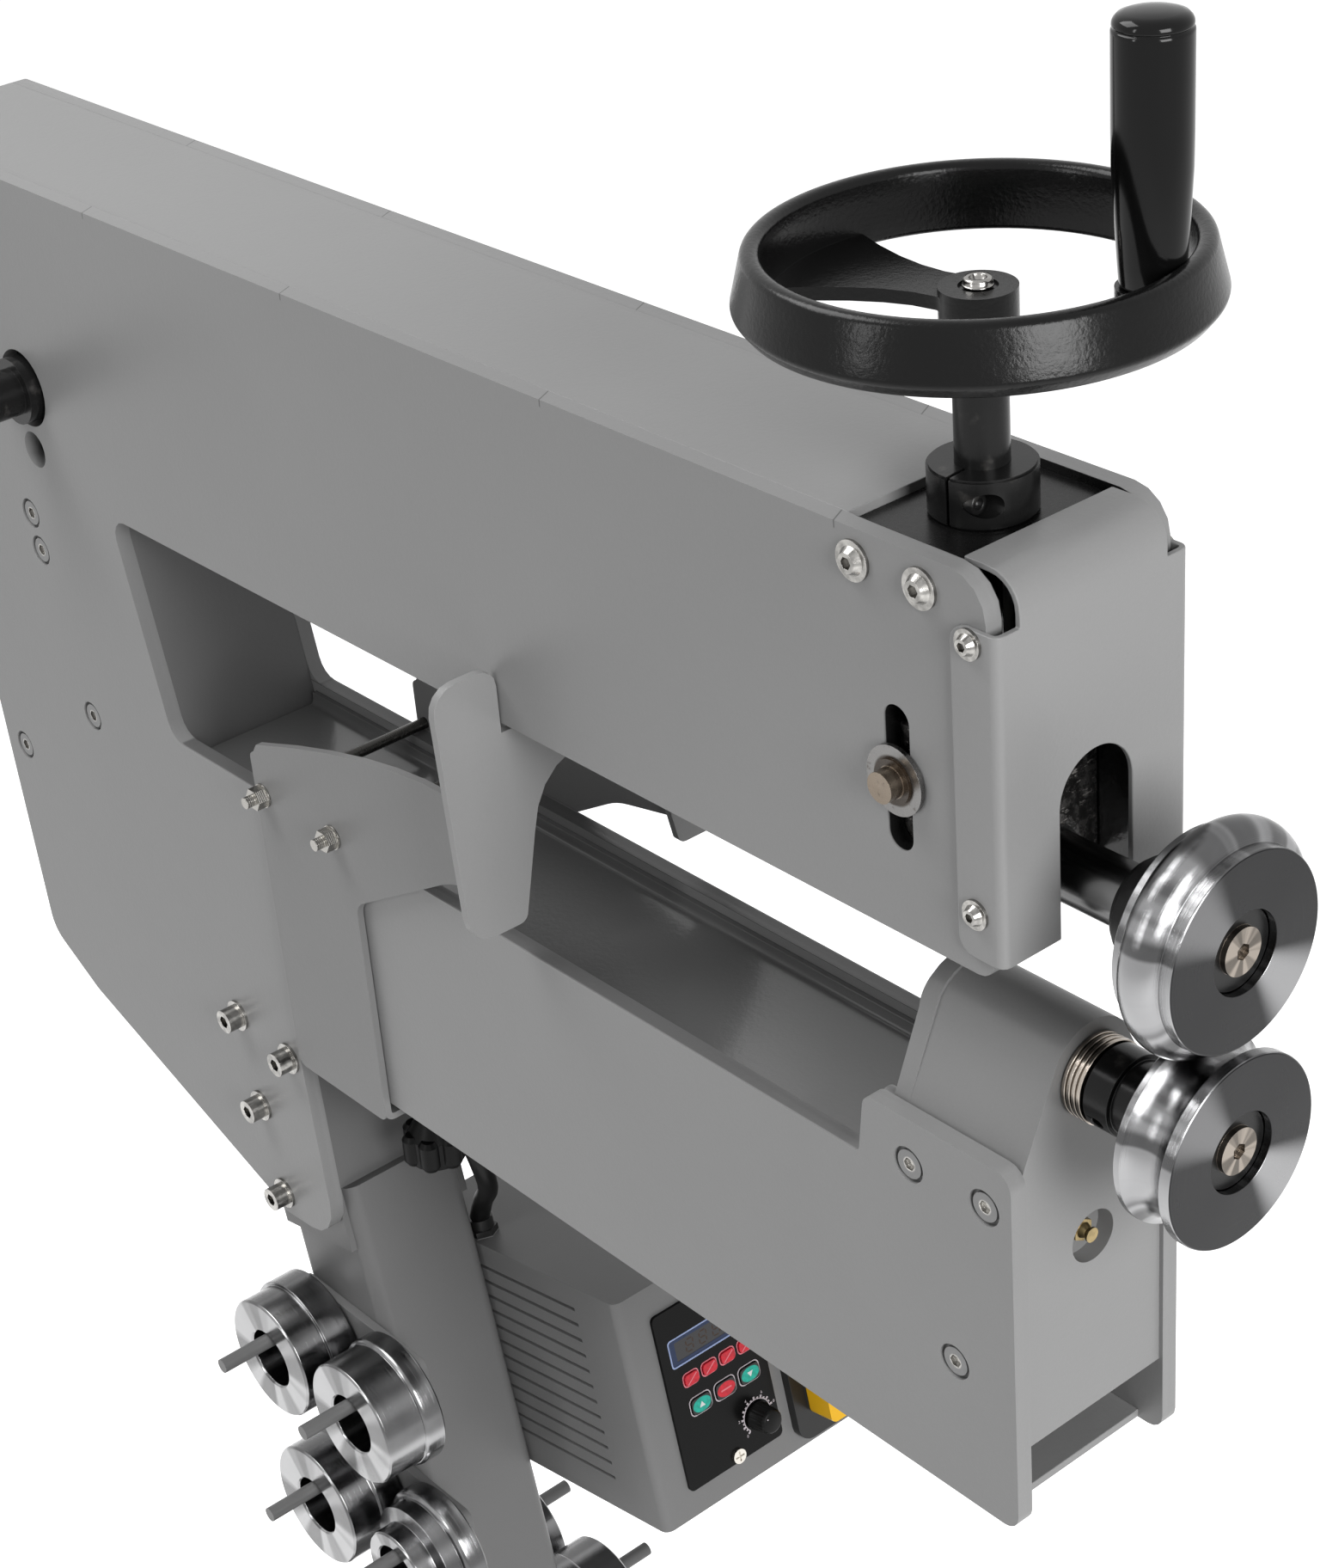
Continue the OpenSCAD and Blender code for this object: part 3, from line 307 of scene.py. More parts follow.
def new_piece(name, mesh_builder, material, body):
    """Makes an object of a mesh that ends its building, with a material, riding on a body."""
    mesh = bpy.data.meshes.new(name)
    mesh_builder.normal_update()
    mesh_builder.to_mesh(mesh)
    mesh_builder.free()
    piece = bpy.data.objects.new(name, mesh)
    bpy.context.scene.collection.objects.link(piece)
    mesh.materials.append(material)
    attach(piece, body)
    return piece


def add_film(builder, outline, low, high, hole=None, crown=0.0):
    """Adds a printed film between two heights on the box's front, with an opening if a hole is given."""
    count = len(outline)
    if hole is None:
        middle = (sum(p[0] for p in outline) / count, sum(p[1] for p in outline) / count)
        rings = [[builder.verts.new(on_box(h, *p)) for p in outline] for h in (low, high)]
        top = builder.verts.new(on_box(high + crown, *middle))
        for i in range(count):
            j = (i + 1) % count
            builder.faces.new((rings[0][i], rings[0][j], rings[1][j], rings[1][i]))
            builder.faces.new((rings[1][i], rings[1][j], top))
        return
    loops = [(outline, low), (outline, high), (hole, high), (hole, low)]
    rings = [[builder.verts.new(on_box(h, *p)) for p in loop] for loop, h in loops]
    for first, second in zip(rings, rings[1:]):
        for i in range(count):
            j = (i + 1) % count
            builder.faces.new((first[i], first[j], second[j], second[i]))


def plastic(name, colour, roughness, gloss=0.0, shine=0.3):
    """Moulded plastic: an even colour with a fine spark grain."""
    material, shader, here = new_material(name)
    patch = here.noise(120, 2)
    grain = here.noise(1500, 2)
    shade = [0.86 * part for part in colour[:3]] + [1]
    feed(shader, Base_Color=patch.blend(shade, colour), Roughness=patch * 0.08 + roughness,
         Normal=grain.bumped(0.08, 0.05 * MM), Coat_Weight=gloss, Coat_Roughness=0.08,
         Specular_IOR_Level=shine)
    return material


def panel_plastic():
    """Black film over the panel, and bright steel on the screw's head."""
    material, shader, here = new_material("panel_black")
    forward = here.axis("X") * math.cos(box_lean) + here.axis("Z") * math.sin(box_lean)
    place = on_box(panel_face, *panel_screw)
    off = here.away_from(tuple(place))
    face = (panel_face + column_foot * math.cos(box_lean)) * MM
    screw = forward.steps(face + 0.05 * MM, face + 0.1 * MM) * (1 - off.steps(5.2 * MM, 5.4 * MM))
    patch = here.noise(90, 3)
    feed(shader, Base_Color=screw.blend(grey(0.003), (0.62, 0.59, 0.54, 1)), Metallic=screw,
         Roughness=patch * 0.1 + 0.2, Normal=here.noise(1500, 2).bumped(0.06, 0.05 * MM),
         Specular_IOR_Level=0.1)
    return material


def key_plastic(name, colour, centre, half_width, half_height):
    """A black key with a coloured oval or rounded field that reaches the given half sizes."""
    material, shader, here = new_material(name)
    upright = here.axis("Z") * math.cos(box_lean) - (here.axis("X") - column_foot * MM) * math.sin(box_lean)
    across = (here.axis("Y") - centre[0] * MM) * (1 / (half_width * MM))
    up = (upright - centre[1] * MM) * (1 / (half_height * MM))
    off = across * across + up * up
    patch = here.noise(500, 2)
    shade = [0.7 * part for part in colour[:3]] + [1]
    field = patch.steps(0.3, 0.7).blend(shade, colour)
    mask = off.steps(0.92, 1.06)
    feed(shader, Base_Color=mask.blend(field, grey(0.008)), Roughness=patch * 0.08 + 0.28,
         Specular_IOR_Level=0.35)
    return material


dress(panel_plastic(), 0.8, "controller_plate")
key_red = (0.62, 0.010, 0.028, 1)
key_teal = (0.0, 0.42, 0.32, 1)
for number, across in enumerate(small_key_places, start=1):
    dress(key_plastic("small_key_%d" % number, key_red, (across, small_key_height), 6.0, 4.6), 0.3,
          "key_%d" % number)
for node_name, across, colour in zip(("key_up", "key_run", "key_down"), large_key_places,
                                     (key_teal, key_red, key_teal)):
    dress(key_plastic(node_name + "_film", colour, (across, large_key_height), 6.1, 4.2), 0.3, node_name)
knob_black = plastic("knob_black", (0.004, 0.004, 0.004, 1), 0.35, shine=0.12)

pale_print = plastic("pale_print", (0.52, 0.47, 0.50, 1), 0.4)
pink_print_and_glare = plastic("pink_print_and_glare", (0.72, 0.22, 0.26, 1), 0.4)
blue_print = plastic("blue_print", (0.34, 0.42, 0.66, 1), 0.35)
navy_print = plastic("navy_print", (0.006, 0.02, 0.07, 1), 0.25)
white_print = plastic("white_print", (0.72, 0.74, 0.74, 1), 0.4)
dim_digit = plastic("dim_digit", (0.030, 0.012, 0.003, 1), 0.3)
screen_dark = plastic("screen_dark", (0.006, 0.006, 0.009, 1), 0.12, gloss=0.3)

# Outlines printed round the keys
print_top = panel_face + 0.12
builder = bmesh.new()
for across in small_key_places:
    add_film(builder, on_screen((across, small_key_height), 5.5, 4.3, 2.6), panel_face, print_top,
             hole=on_screen((across, small_key_height), 4.97, 3.67, 2.4))
new_piece("small_key_outlines", builder, pink_print_and_glare, "frame")
builder = bmesh.new()
for across in large_key_places:
    add_film(builder, on_screen((across, large_key_height), 7.5, 5.75, 3.2), panel_face, print_top,
             hole=on_screen((across, large_key_height), 6.95, 5.2, 3.0))
new_piece("large_key_outlines", builder, pale_print, "frame")

# Marks on the keys, each on its own key's body: pale diagonal streaks on the small red keys are painted
# highlights; the run key gets a short pale bar and the up and down keys white arrows.
for number, across in enumerate(small_key_places, start=1):
    builder = bmesh.new()
    # Painted highlight: a pale diagonal streak across each small red key.
    slant = [(across - 3.6, small_key_height - 2.2), (across - 3.1, small_key_height - 2.6),
             (across + 3.6, small_key_height + 2.2), (across + 3.1, small_key_height + 2.6)]
    add_film(builder, slant, mark_low, mark_high)
    new_piece("key_%d_mark" % number, builder, pink_print_and_glare, "key_%d_body" % number)
for body, across, rise in (("key_up_body", large_key_places[0], 1),
                           ("key_down_body", large_key_places[2], -1)):
    builder = bmesh.new()
    foot, tip = large_key_height - 1.4 * rise, large_key_height + 1.8 * rise
    arrow = [(across - 1.9 * rise, foot), (across + 1.9 * rise, foot), (across, tip)]
    add_film(builder, arrow, mark_low, mark_high)
    new_piece(body.replace("_body", "_arrow"), builder, white_print, body)
builder = bmesh.new()
add_film(builder, on_screen((large_key_places[1], large_key_height), 3.6, 0.45, 0.4), mark_low, mark_high)
new_piece("key_run_mark", builder, pink_print_and_glare, "key_run_body")

# Display: a pale blue frame, a navy band and a dark screen with unlit digits
window_place = (87.0, 615.5)
window_floor = panel_face - 0.6
builder = bmesh.new()
add_film(builder, on_screen(window_place, 27.0, 8.5, 2.0), window_floor, panel_face + 0.1,
         hole=on_screen(window_place, 26.2, 7.7, 1.6))
new_piece("display_frame", builder, blue_print, "frame")
builder = bmesh.new()
add_film(builder, on_screen(window_place, 26.2, 7.7, 1.6), window_floor, panel_face - 0.25,
         hole=on_screen(window_place, 22.6, 5.6, 0.6))
new_piece("display_band", builder, navy_print, "frame")
builder = bmesh.new()
add_film(builder, on_screen(window_place, 22.6, 5.6, 0.6), window_floor, panel_face - 0.4, crown=0.02)
new_piece("display_screen", builder, screen_dark, "frame")
bar_low, bar_high = panel_face - 0.42, panel_face - 0.36
builder = bmesh.new()
for digit in range(4):
    middle = window_place[0] - 15.5 + digit * 9.2 + 2.6
    for row in (-1, 0, 1):
        bar_place = (middle + row * 0.4, window_place[1] + row * 3.6)
        add_film(builder, on_screen(bar_place, 1.7, 0.4, 0.3, steps=1), bar_low, bar_high)
    for side in (-1, 1):
        for row in (-1, 1):
            bar_place = (middle + side * 2.3 + row * 0.2, window_place[1] + row * 1.8)
            add_film(builder, on_screen(bar_place, 0.4, 1.3, 0.3, steps=1), bar_low, bar_high)
new_piece("display_digits", builder, dim_digit, "frame")

# Dial: an arc with 21 ticks and every second number from 0 to 10 round the knob
builder = bmesh.new()
arc_steps = 54
dial_sweep = math.radians(270)


def dial_place(share, radius):
    """Place on the dial: share 0 is the low end and 1 the high end."""
    turn = math.radians(225) - share * dial_sweep
    return (dial_centre[0] + radius * math.cos(turn), dial_centre[1] + radius * math.sin(turn))


for step in range(arc_steps):
    first, second = step / arc_steps, (step + 1) / arc_steps
    add_film(builder, [dial_place(first, dial_radius - 0.28), dial_place(first, dial_radius + 0.28),
                       dial_place(second, dial_radius + 0.28), dial_place(second, dial_radius - 0.28)],
             panel_face, print_top)
tick_half = 0.012
for tick in range(21):
    near, far = dial_radius + 0.2, dial_radius + (1.9 if tick % 2 == 0 else 1.1)
    left, right = tick / 20 - tick_half, tick / 20 + tick_half
    add_film(builder, [dial_place(left, near), dial_place(left, far), dial_place(right, far),
                       dial_place(right, near)], panel_face, print_top)
new_piece("dial_scale", builder, pale_print, "frame")
for tick in range(0, 11, 2):
    share = tick / 10
    across, upright = dial_place(share, dial_radius + 3.3)
    numeral = bpy.data.curves.new("dial_number_%d" % tick, "FONT")
    numeral.body = str(tick)
    numeral.size = 2.5 * MM
    numeral.extrude = 0.05 * MM
    numeral.align_x = "CENTER"
    numeral.align_y = "CENTER"
    numeral.materials.append(pale_print)
    piece = bpy.data.objects.new("dial_number_%d" % tick, numeral)
    bpy.context.scene.collection.objects.link(piece)
    facing = Matrix(((0, -math.sin(box_lean), math.cos(box_lean)), (1, 0, 0),
                     (0, math.cos(box_lean), math.sin(box_lean)))).to_4x4()
    piece.matrix_world = Matrix.Translation(on_box(panel_face + 0.06, across, upright)) @ facing
    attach(piece, "frame")

# Knob: turned to a soft taper with fine flutes, in place of the plain one
knob_profile = ((3.0, -3.5), (3.0, 0.6), (7.7, 0.6), (7.9, 1.2), (7.9, 2.6), (7.3, 3.2), (6.9, 11.6),
                (6.3, 12.8), (5.4, 13.3), (0.0, 13.1))
knob_turns = 96
builder = bmesh.new()
rings = []
for radius, rise in knob_profile[:-1]:
    ring = []
    for step in range(knob_turns):
        turn = 2 * math.pi * step / knob_turns
        flute = 0.22 * math.cos(24 * turn) if 3.0 < rise < 12 else 0.0
        across = dial_centre[0] + (radius + flute) * math.cos(turn)
        upright = dial_centre[1] + (radius + flute) * math.sin(turn)
        ring.append(builder.verts.new(on_box(panel_face + rise, across, upright)))
    rings.append(ring)
tip = builder.verts.new(on_box(panel_face + knob_profile[-1][1], *dial_centre))
for first, second in zip(rings, rings[1:]):
    for step in range(knob_turns):
        after = (step + 1) % knob_turns
        builder.faces.new((first[step], first[after], second[after], second[step])).smooth = True
for step in range(knob_turns):
    builder.faces.new((rings[-1][step], rings[-1][(step + 1) % knob_turns], tip)).smooth = True
dial_knob = new_piece("dial_knob", builder, knob_black, "dial")
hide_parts("speed_knob")
builder = bmesh.new()
pointer_place = (dial_centre[0] - 3.1, dial_centre[1] + 3.1)
add_film(builder, on_screen(pointer_place, 0.35, 0.35, 0.3), panel_face + 13.1, panel_face + 13.36)
new_piece("knob_pointer", builder, pale_print, "dial")

# Switch
# A moulded switch with a black rim and a yellow cover that carries a green
# start button and a red stop button, snapped into the box's front.
button_green = plastic("button_green", (0.01, 0.26, 0.05, 1), 0.3)
button_red = plastic("button_red", (0.62, 0.012, 0.02, 1), 0.3)
dress(button_green, 0.4, "start_button")
dress(button_red, 0.4, "stop_button")
rim_front = 166.0


def switch_plastic():
    """Black rim up to the rim's front face and yellow cover above it."""
    material, shader, here = new_material("switch_plastic")
    forward = here.axis("X") * math.cos(box_lean) + here.axis("Z") * math.sin(box_lean)
    raised = forward.steps(rim_front * MM, (rim_front + 0.2) * MM)
    grain = here.noise(1500, 2)
    feed(shader, Base_Color=raised.blend((0.006, 0.006, 0.006, 1), (0.83, 0.46, 0.005, 1)), Roughness=0.32,
         Normal=grain.bumped(0.08, 0.05 * MM), Specular_IOR_Level=0.35)
    return material


dress(switch_plastic(), 0.5, "switch_housing")

# Frame plates, covers and linings
# Two C shaped plates of 8 mm steel with bent sheets between them, laser cut,
# tabbed together and welded, then powder coated in one neutral grey.
weld_line = 38.5
tab_places = (-189, -29, 148, 314)
arm_lip = 963.9 * MM
head_rear, head_floor = 320, 1080
slot_place = (345, 1145)
slot_half_height = 39


def frame_coat():
    """Powder coat over the covers' weld lines, with painted shade in near black inside the head and darker
    along the lower arm's top edge; dark grease in the head's slots.
    """
    material, shader, here = new_material("frame_paint")
    cloud, tone, relief = sprayed_powder(here)
    across = abs(here.axis("Y"))
    wander = here.stretched((8, 0, 8)).noise(1, 2) * (3 * MM)
    off = across + wander - (weld_line + 1.5) * MM
    hump = 1 - abs(off).steps(0.6 * MM, 3.4 * MM)
    ripple = here.stretched((1, 0.2, 1)).noise(260, 2) * 0.35
    slant = here.axis("X") + here.axis("Y") * 0.5
    notch = sum(1 - abs(slant - (place - 20) * MM).steps(0.1 * MM, 0.5 * MM) for place in tab_places)
    notch = notch * across.steps(38 * MM, 39 * MM) * here.axis("Z").steps(1235.5 * MM, 1236.5 * MM)
    marks_and_lip_shade = notch.blend(tone.blend(grey(0.212), grey(0.238)), grey(0.07))
    # Painted shade: a darker band along the lower arm's top edge, where the upper arm keeps the light off.
    lip_painted_shade = 1 - abs(here.axis("Z") - arm_lip).steps(0.2 * MM, 0.5 * MM)
    lip_painted_shade = lip_painted_shade * (1 - here.axis("X").steps(300 * MM, 320 * MM)) * (1 - across.steps(45.3 * MM, 45.8 * MM))
    marks_and_lip_shade = lip_painted_shade.blend(marks_and_lip_shade, grey(0.115))
    # Painted shade: near black inside the head, seen through the arch.
    head_inside_shade = (1 - across.steps(38.4 * MM, 38.9 * MM)) * here.axis("X").steps(
        (head_rear - 2) * MM, (head_rear + 2) * MM)
    head_inside_shade = head_inside_shade * here.axis("Z").steps((head_floor - 0.5) * MM, (head_floor + 0.5) * MM)
    in_slot = (1 - abs(here.axis("X") - slot_place[0] * MM).steps(6.6 * MM, 7.6 * MM)) * (
        1 - across.steps(45.2 * MM, 46.0 * MM))
    in_slot = in_slot * (1 - abs(here.axis("Z") - slot_place[1] * MM).steps(
        (slot_half_height - 1) * MM, (slot_half_height + 1) * MM))
    # dark joins the painted shade inside the head and the dark grease in the slots; both get lumpy relief
    # and less roughness.
    dark = (head_inside_shade + in_slot).at_most(1.0)
    lump = here.noise(260, 4, 0.6)
    relief = relief + hump * (ripple + 2.2) * 0.6 + dark * lump * 2.4
    feed(shader, Base_Color=dark.blend(marks_and_lip_shade, grey(0.008)), Roughness=cloud * 0.08 + 0.36 - dark * 0.2,
         Normal=relief.bumped(0.2, 0.5 * MM), Specular_IOR_Level=0.4)
    return material


frame_paint = frame_coat()
dress(frame_paint, 0.9, "side_plate_near", "side_plate_far")
dress(frame_paint, 0.4, "frame_cover", "lower_cross_plate")
# Painted shade: the throat and trough linings get darker copies of the plates' coat, for the shade under the
# upper arm; the trough's also has a clear coat.
throat_painted_shade = powder_coat("throat_painted_shade", 0.15, 0.3, 0.2)
dress(throat_painted_shade, 0.4, "throat_lining")
trough_painted_shade = powder_coat("trough_painted_shade", 0.125, 0.2, 0.3, gloss=0.5)
dress(trough_painted_shade, 0.4, "trough_lining")

# Fasteners
# Button, cap and flat screws of stainless or zinc plated steel, slightly warm,
# finely turned and a little uneven in gloss.


def bright_steel(name, colour, roughness):
    """Plated or stainless steel: cloudy gloss, faint scratches and fine turning."""
    material, shader, here = new_material(name)
    patch = here.noise(260, 3)
    fine = here.noise(2600, 2)
    long = here.stretched((300, 3000, 300)).noise(1, 2)
    dark = [0.7 * part for part in colour[:3]] + [1]
    feed(shader, Base_Color=patch.steps(0.28, 0.72).blend(dark, colour), Metallic=1.0,
         Roughness=patch * 0.2 + (roughness - 0.1), Normal=(fine * 0.6 + long * 0.4).bumped(0.2, 0.04 * MM))
    return material


recessed_places = ((-292.5, 1055), (-288.8, 1035.3), (-265.6, 947.1), (-350.1, 898.4), (341.3, 971.9),
                   (382.1, 972.8), (363.2, 887))
stainless = bright_steel("stainless", (0.36, 0.35, 0.335, 1), 0.2)


def screw_steel():
    """Bright screws; the flat ones in the plates' recesses are coated over, but not round their sockets."""
    material, shader, here = new_material("screw_steel")
    patch = here.noise(260, 3)
    fine = here.noise(2600, 2)
    flat = here.stretched((1, 0, 1))
    socket = sum(1 - flat.away_from((x * MM, 0, z * MM)).steps(3.0 * MM, 3.5 * MM)
                 for x, z in recessed_places)
    buried = 1 - abs(here.axis("Y")).steps(46.0 * MM, 46.2 * MM)
    coated = buried * (1 - socket)
    steel = patch.steps(0.28, 0.72).blend((0.22, 0.215, 0.205, 1), (0.42, 0.41, 0.39, 1))
    feed(shader, Base_Color=coated.blend(steel, grey(0.19)), Metallic=1 - coated,
         Roughness=patch * 0.16 + 0.1 + coated * 0.22, Normal=fine.bumped(0.2, 0.04 * MM))
    return material


dress(screw_steel(), 0.25, "frame_screws")

# Head cover, lower cap and end plate
# The head cover is one folded sheet round the head's front; the lower cap is a
# welded box over the lower shaft's bearing. Both are coated before they are fixed.
sheet_back, inner_shade_top = 396.0, 1215


def cover_coat():
    """Powder coat outside; a painted shade in near black on the inside of the folded sheet."""
    material, shader, here = new_material("cover_paint")
    cloud, tone, relief = sprayed_powder(here)
    between = 1 - abs(here.axis("Y")).steps(46.0 * MM, 46.6 * MM)
    behind = 1 - here.axis("X").steps((sheet_back - 0.3) * MM, (sheet_back + 0.3) * MM)
    # Painted shade: near black on the sheet's inside, up to below the tongue's bend.
    inside = between * behind * (1 - here.axis("Z").steps((inner_shade_top - 1) * MM, (inner_shade_top + 1) * MM))
    feed(shader, Base_Color=inside.blend(tone.blend(grey(0.222), grey(0.248)), grey(0.008)),
         Roughness=cloud * 0.08 + 0.34, Normal=relief.bumped(0.25, 0.5 * MM), Specular_IOR_Level=0.4)
    return material


cover_paint = cover_coat()
dress(cover_paint, 0.6, "head_cover")
dress(frame_paint, 0.8, "lower_head_cap", "head_end_plate")

# Handwheel, its screw and the head plate
# A cast wheel with one web, a semi gloss black coat and a turning grip sits on the
# screw that presses the upper shaft's carrier. A split collar is clamped round the
# screw, over the sunk plate that closes the head.


def black_metal(name, level, roughness, grain_size, relief, worn=0.0):
    """Blacked or coated metal with a fine grain, rubbed paler in places."""
    material, shader, here = new_material(name)
    grain = here.noise(grain_size, 3, 0.6)
    rubbed = here.noise(90, 4).steps(0.6, 0.8) * worn
    feed(shader, Base_Color=rubbed.blend(grey(level), grey(0.12, 0.06)), Specular_IOR_Level=0.2,
         Roughness=grain * 0.12 + roughness, Normal=grain.bumped(relief, 0.3 * MM))
    return material


black_oxide = black_metal("black_oxide", 0.008, 0.17, 900, 0.12, worn=0.4)
black_plate = black_metal("black_plate", 0.006, 0.22, 500, 0.1)
wheel_coat = black_metal("handwheel_coat", 0.003, 0.16, 560, 0.42)
grip_gloss = black_metal("grip_gloss", 0.003, 0.06, 60, 0.02)
dress(black_oxide, 0.4, "spindle", "split_collar", "lifting_bar")
dress(black_plate, 0.5, "head_plate")
dress(wheel_coat, 0.8, "handwheel", segments=3)
wheel_middle = (345.0, 0.0, 1336.8)
grip_way = math.radians(20)
grip_place = (wheel_middle[0] + 63 * math.cos(grip_way), 63 * math.sin(grip_way), wheel_middle[2] - 9.5)


def lathe(builder, middle, profile, steps):
    """Adds a round body about a vertical axis; the profile is (radius, rise) from below to the top."""
    rings = []
    for radius, rise in profile:
        if radius == 0:
            rings.append([builder.verts.new(Vector((middle[0], middle[1], middle[2] + rise)) * MM)])
            continue
        rings.append([builder.verts.new(Vector((middle[0] + radius * math.cos(2 * math.pi * k / steps),
                                                middle[1] + radius * math.sin(2 * math.pi * k / steps),
                                                middle[2] + rise)) * MM) for k in range(steps)])
    for first, second in zip(rings, rings[1:]):
        for k in range(steps):
            after = (k + 1) % steps
            if len(second) == 1:
                builder.faces.new((first[k], first[after], second[0])).smooth = True
            elif len(first) == 1:
                builder.faces.new((first[0], second[after], second[k])).smooth = True
            else:
                builder.faces.new((first[k], first[after], second[after], second[k])).smooth = True


# Turning grip: a straight moulded sleeve that narrows below, with a pressed-in cap
grip_profile = ((4.1, 0), (10.6, 0), (11.0, 0.5), (11.15, 1.2), (11.6, 8), (12.6, 24), (13.45, 40),
                (13.6, 52), (13.6, 84.6), (13.55, 85.4), (13.3, 85.9), (12.9, 86.05), (12.9, 86.5),
                (13.2, 86.7), (13.3, 87.2), (13.2, 88.2), (12.7, 89.2), (11.6, 90.3), (9.2, 91.1),
                (5, 91.7), (0, 91.9))
builder = bmesh.new()
lathe(builder, grip_place, grip_profile, 72)
grip_sleeve = new_piece("grip_sleeve", builder, grip_gloss, "grip")
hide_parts("hand_grip")

# Hub screw: a low bright head with a round socket; the clamp screw is black
hub_screw_profile = ((5.6, 0), (5.6, 0.4), (5.4, 0.6), (5.2, 0.7), (5.2, 2.2), (4.7, 2.9), (3.2, 3.0),
                     (3.0, 2.8), (2.9, 0.5), (0, 0.4))
builder = bmesh.new()
lathe(builder, (wheel_middle[0], 0, wheel_middle[2] - 17.8), hub_screw_profile, 48)
hub_screw = new_piece("hub_screw", builder, stainless, "wheel")
collar_rise = 1236.0 + 18.5 / 2
slit_way = math.radians(-84)
clamp_spot = Vector((wheel_middle[0] + 14.5 * math.cos(slit_way), 14.5 * math.sin(slit_way), collar_rise))
clamp_profile = ((4.2, 4.0), (4.2, 9.4), (3.7, 9.9), (2.2, 9.9), (2.1, 9.7), (2.0, 7.6), (0, 7.5))
builder = bmesh.new()
lathe(builder, (0, 0, 0), clamp_profile, 40)
clamp_turn = Matrix.Rotation(slit_way, 4, "Z") @ Matrix.Rotation(math.radians(-90), 4, "X")
bmesh.ops.transform(builder, matrix=Matrix.Translation(clamp_spot * MM) @ clamp_turn, verts=builder.verts)
new_piece("clamp_screw", builder, black_oxide, "wheel")
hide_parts("wheel_screws")

# Carrier and cross pin
# A block slides in the head and carries the upper shaft; its cross pin holds the
# nut of the pressing screw. The block is packed with dark grease, and the pin's
# washers and ends are wiped steel.
pin_place = (345.0, 1145.4)
pin_edge, step_edge = 6.5, 9.3


def greased(name, level):
    """Dark grease over iron: glossy lumps, smears and a few pale strands."""
    material, shader, here = new_material(name)
    lump = here.noise(230, 4, 0.6)
    smear = here.stretched((1, 0.35, 1)).noise(420, 5, 0.7)
    strand = smear.steps(0.58, 0.66)
    body = lump.steps(0.4, 0.65).blend(grey(level, 0.05), grey(level * 6, 0.04))
    feed(shader, Base_Color=strand.blend(body, grey(0.42, 0.05)), Specular_IOR_Level=0.6,
         Roughness=lump * 0.35 + 0.08, Normal=(lump + smear * 0.5).bumped(0.8, 0.8 * MM))
    return material


def from_axis(here, middle, along):
    """Distance of each point from an axis along X or Y through the middle, in metres."""
    first, second = ("Y", "Z") if along == "X" else ("X", "Z")
    across = here.axis(first) - middle[0] * MM
    up = here.axis(second) - middle[1] * MM
    squared = across * across + up * up
    return squared.math("POWER", squared, 0.5)


def pin_steel():
    """Steel washer and pin end with brown grease in the step between them."""
    material, shader, here = new_material("pin_steel")
    radius = from_axis(here, pin_place, "Y")
    outside = abs(here.axis("Y")).steps(46.0 * MM, 46.6 * MM)
    end = 1 - radius.steps((pin_edge - 0.2) * MM, (pin_edge + 0.2) * MM)
    wash = radius.steps(step_edge * MM, (step_edge + 1.3) * MM)
    blot = here.noise(420, 4, 0.65)
    grease = (1 - wash) * (1 - end) + (blot.steps(0.60, 0.70) * 0.6)
    clean = end.blend(grey(0.19, 0.02), (0.20, 0.165, 0.13, 1))
    dirty = blot.blend((0.010, 0.006, 0.004, 1), (0.055, 0.037, 0.022, 1))
    feed(shader, Base_Color=outside.blend(grey(0.03), grease.blend(clean, dirty)), Metallic=1 - grease * 0.6,
         Roughness=blot * 0.25 + 0.16, Normal=(blot + radius * 900).bumped(0.25, 0.2 * MM))
    return material


dress(greased("carrier_grease", 0.012), 0.4, "carrier")
dress(pin_steel(), 1.0, "cross_pin", segments=3)

# Shafts, hubs and rolls
# The rolls are turned and polished, so every ring round their axis is a fine
# groove; the hubs behind them are black, the shafts ground.
# Their colours also carry painted reflections: bright and dark patches round each axis, and a pale painted
# wedge highlight on the roll faces.
upper_axis_z = 1103.1
lower_axis_z = 1017.6
# Painted highlight: the way round the axis of the pale wedge on the turned faces, toward the front lamp.
painted_wedge_turn = math.radians(-44)
painted_wedge_way = (math.cos(painted_wedge_turn), math.sin(painted_wedge_turn), 0)


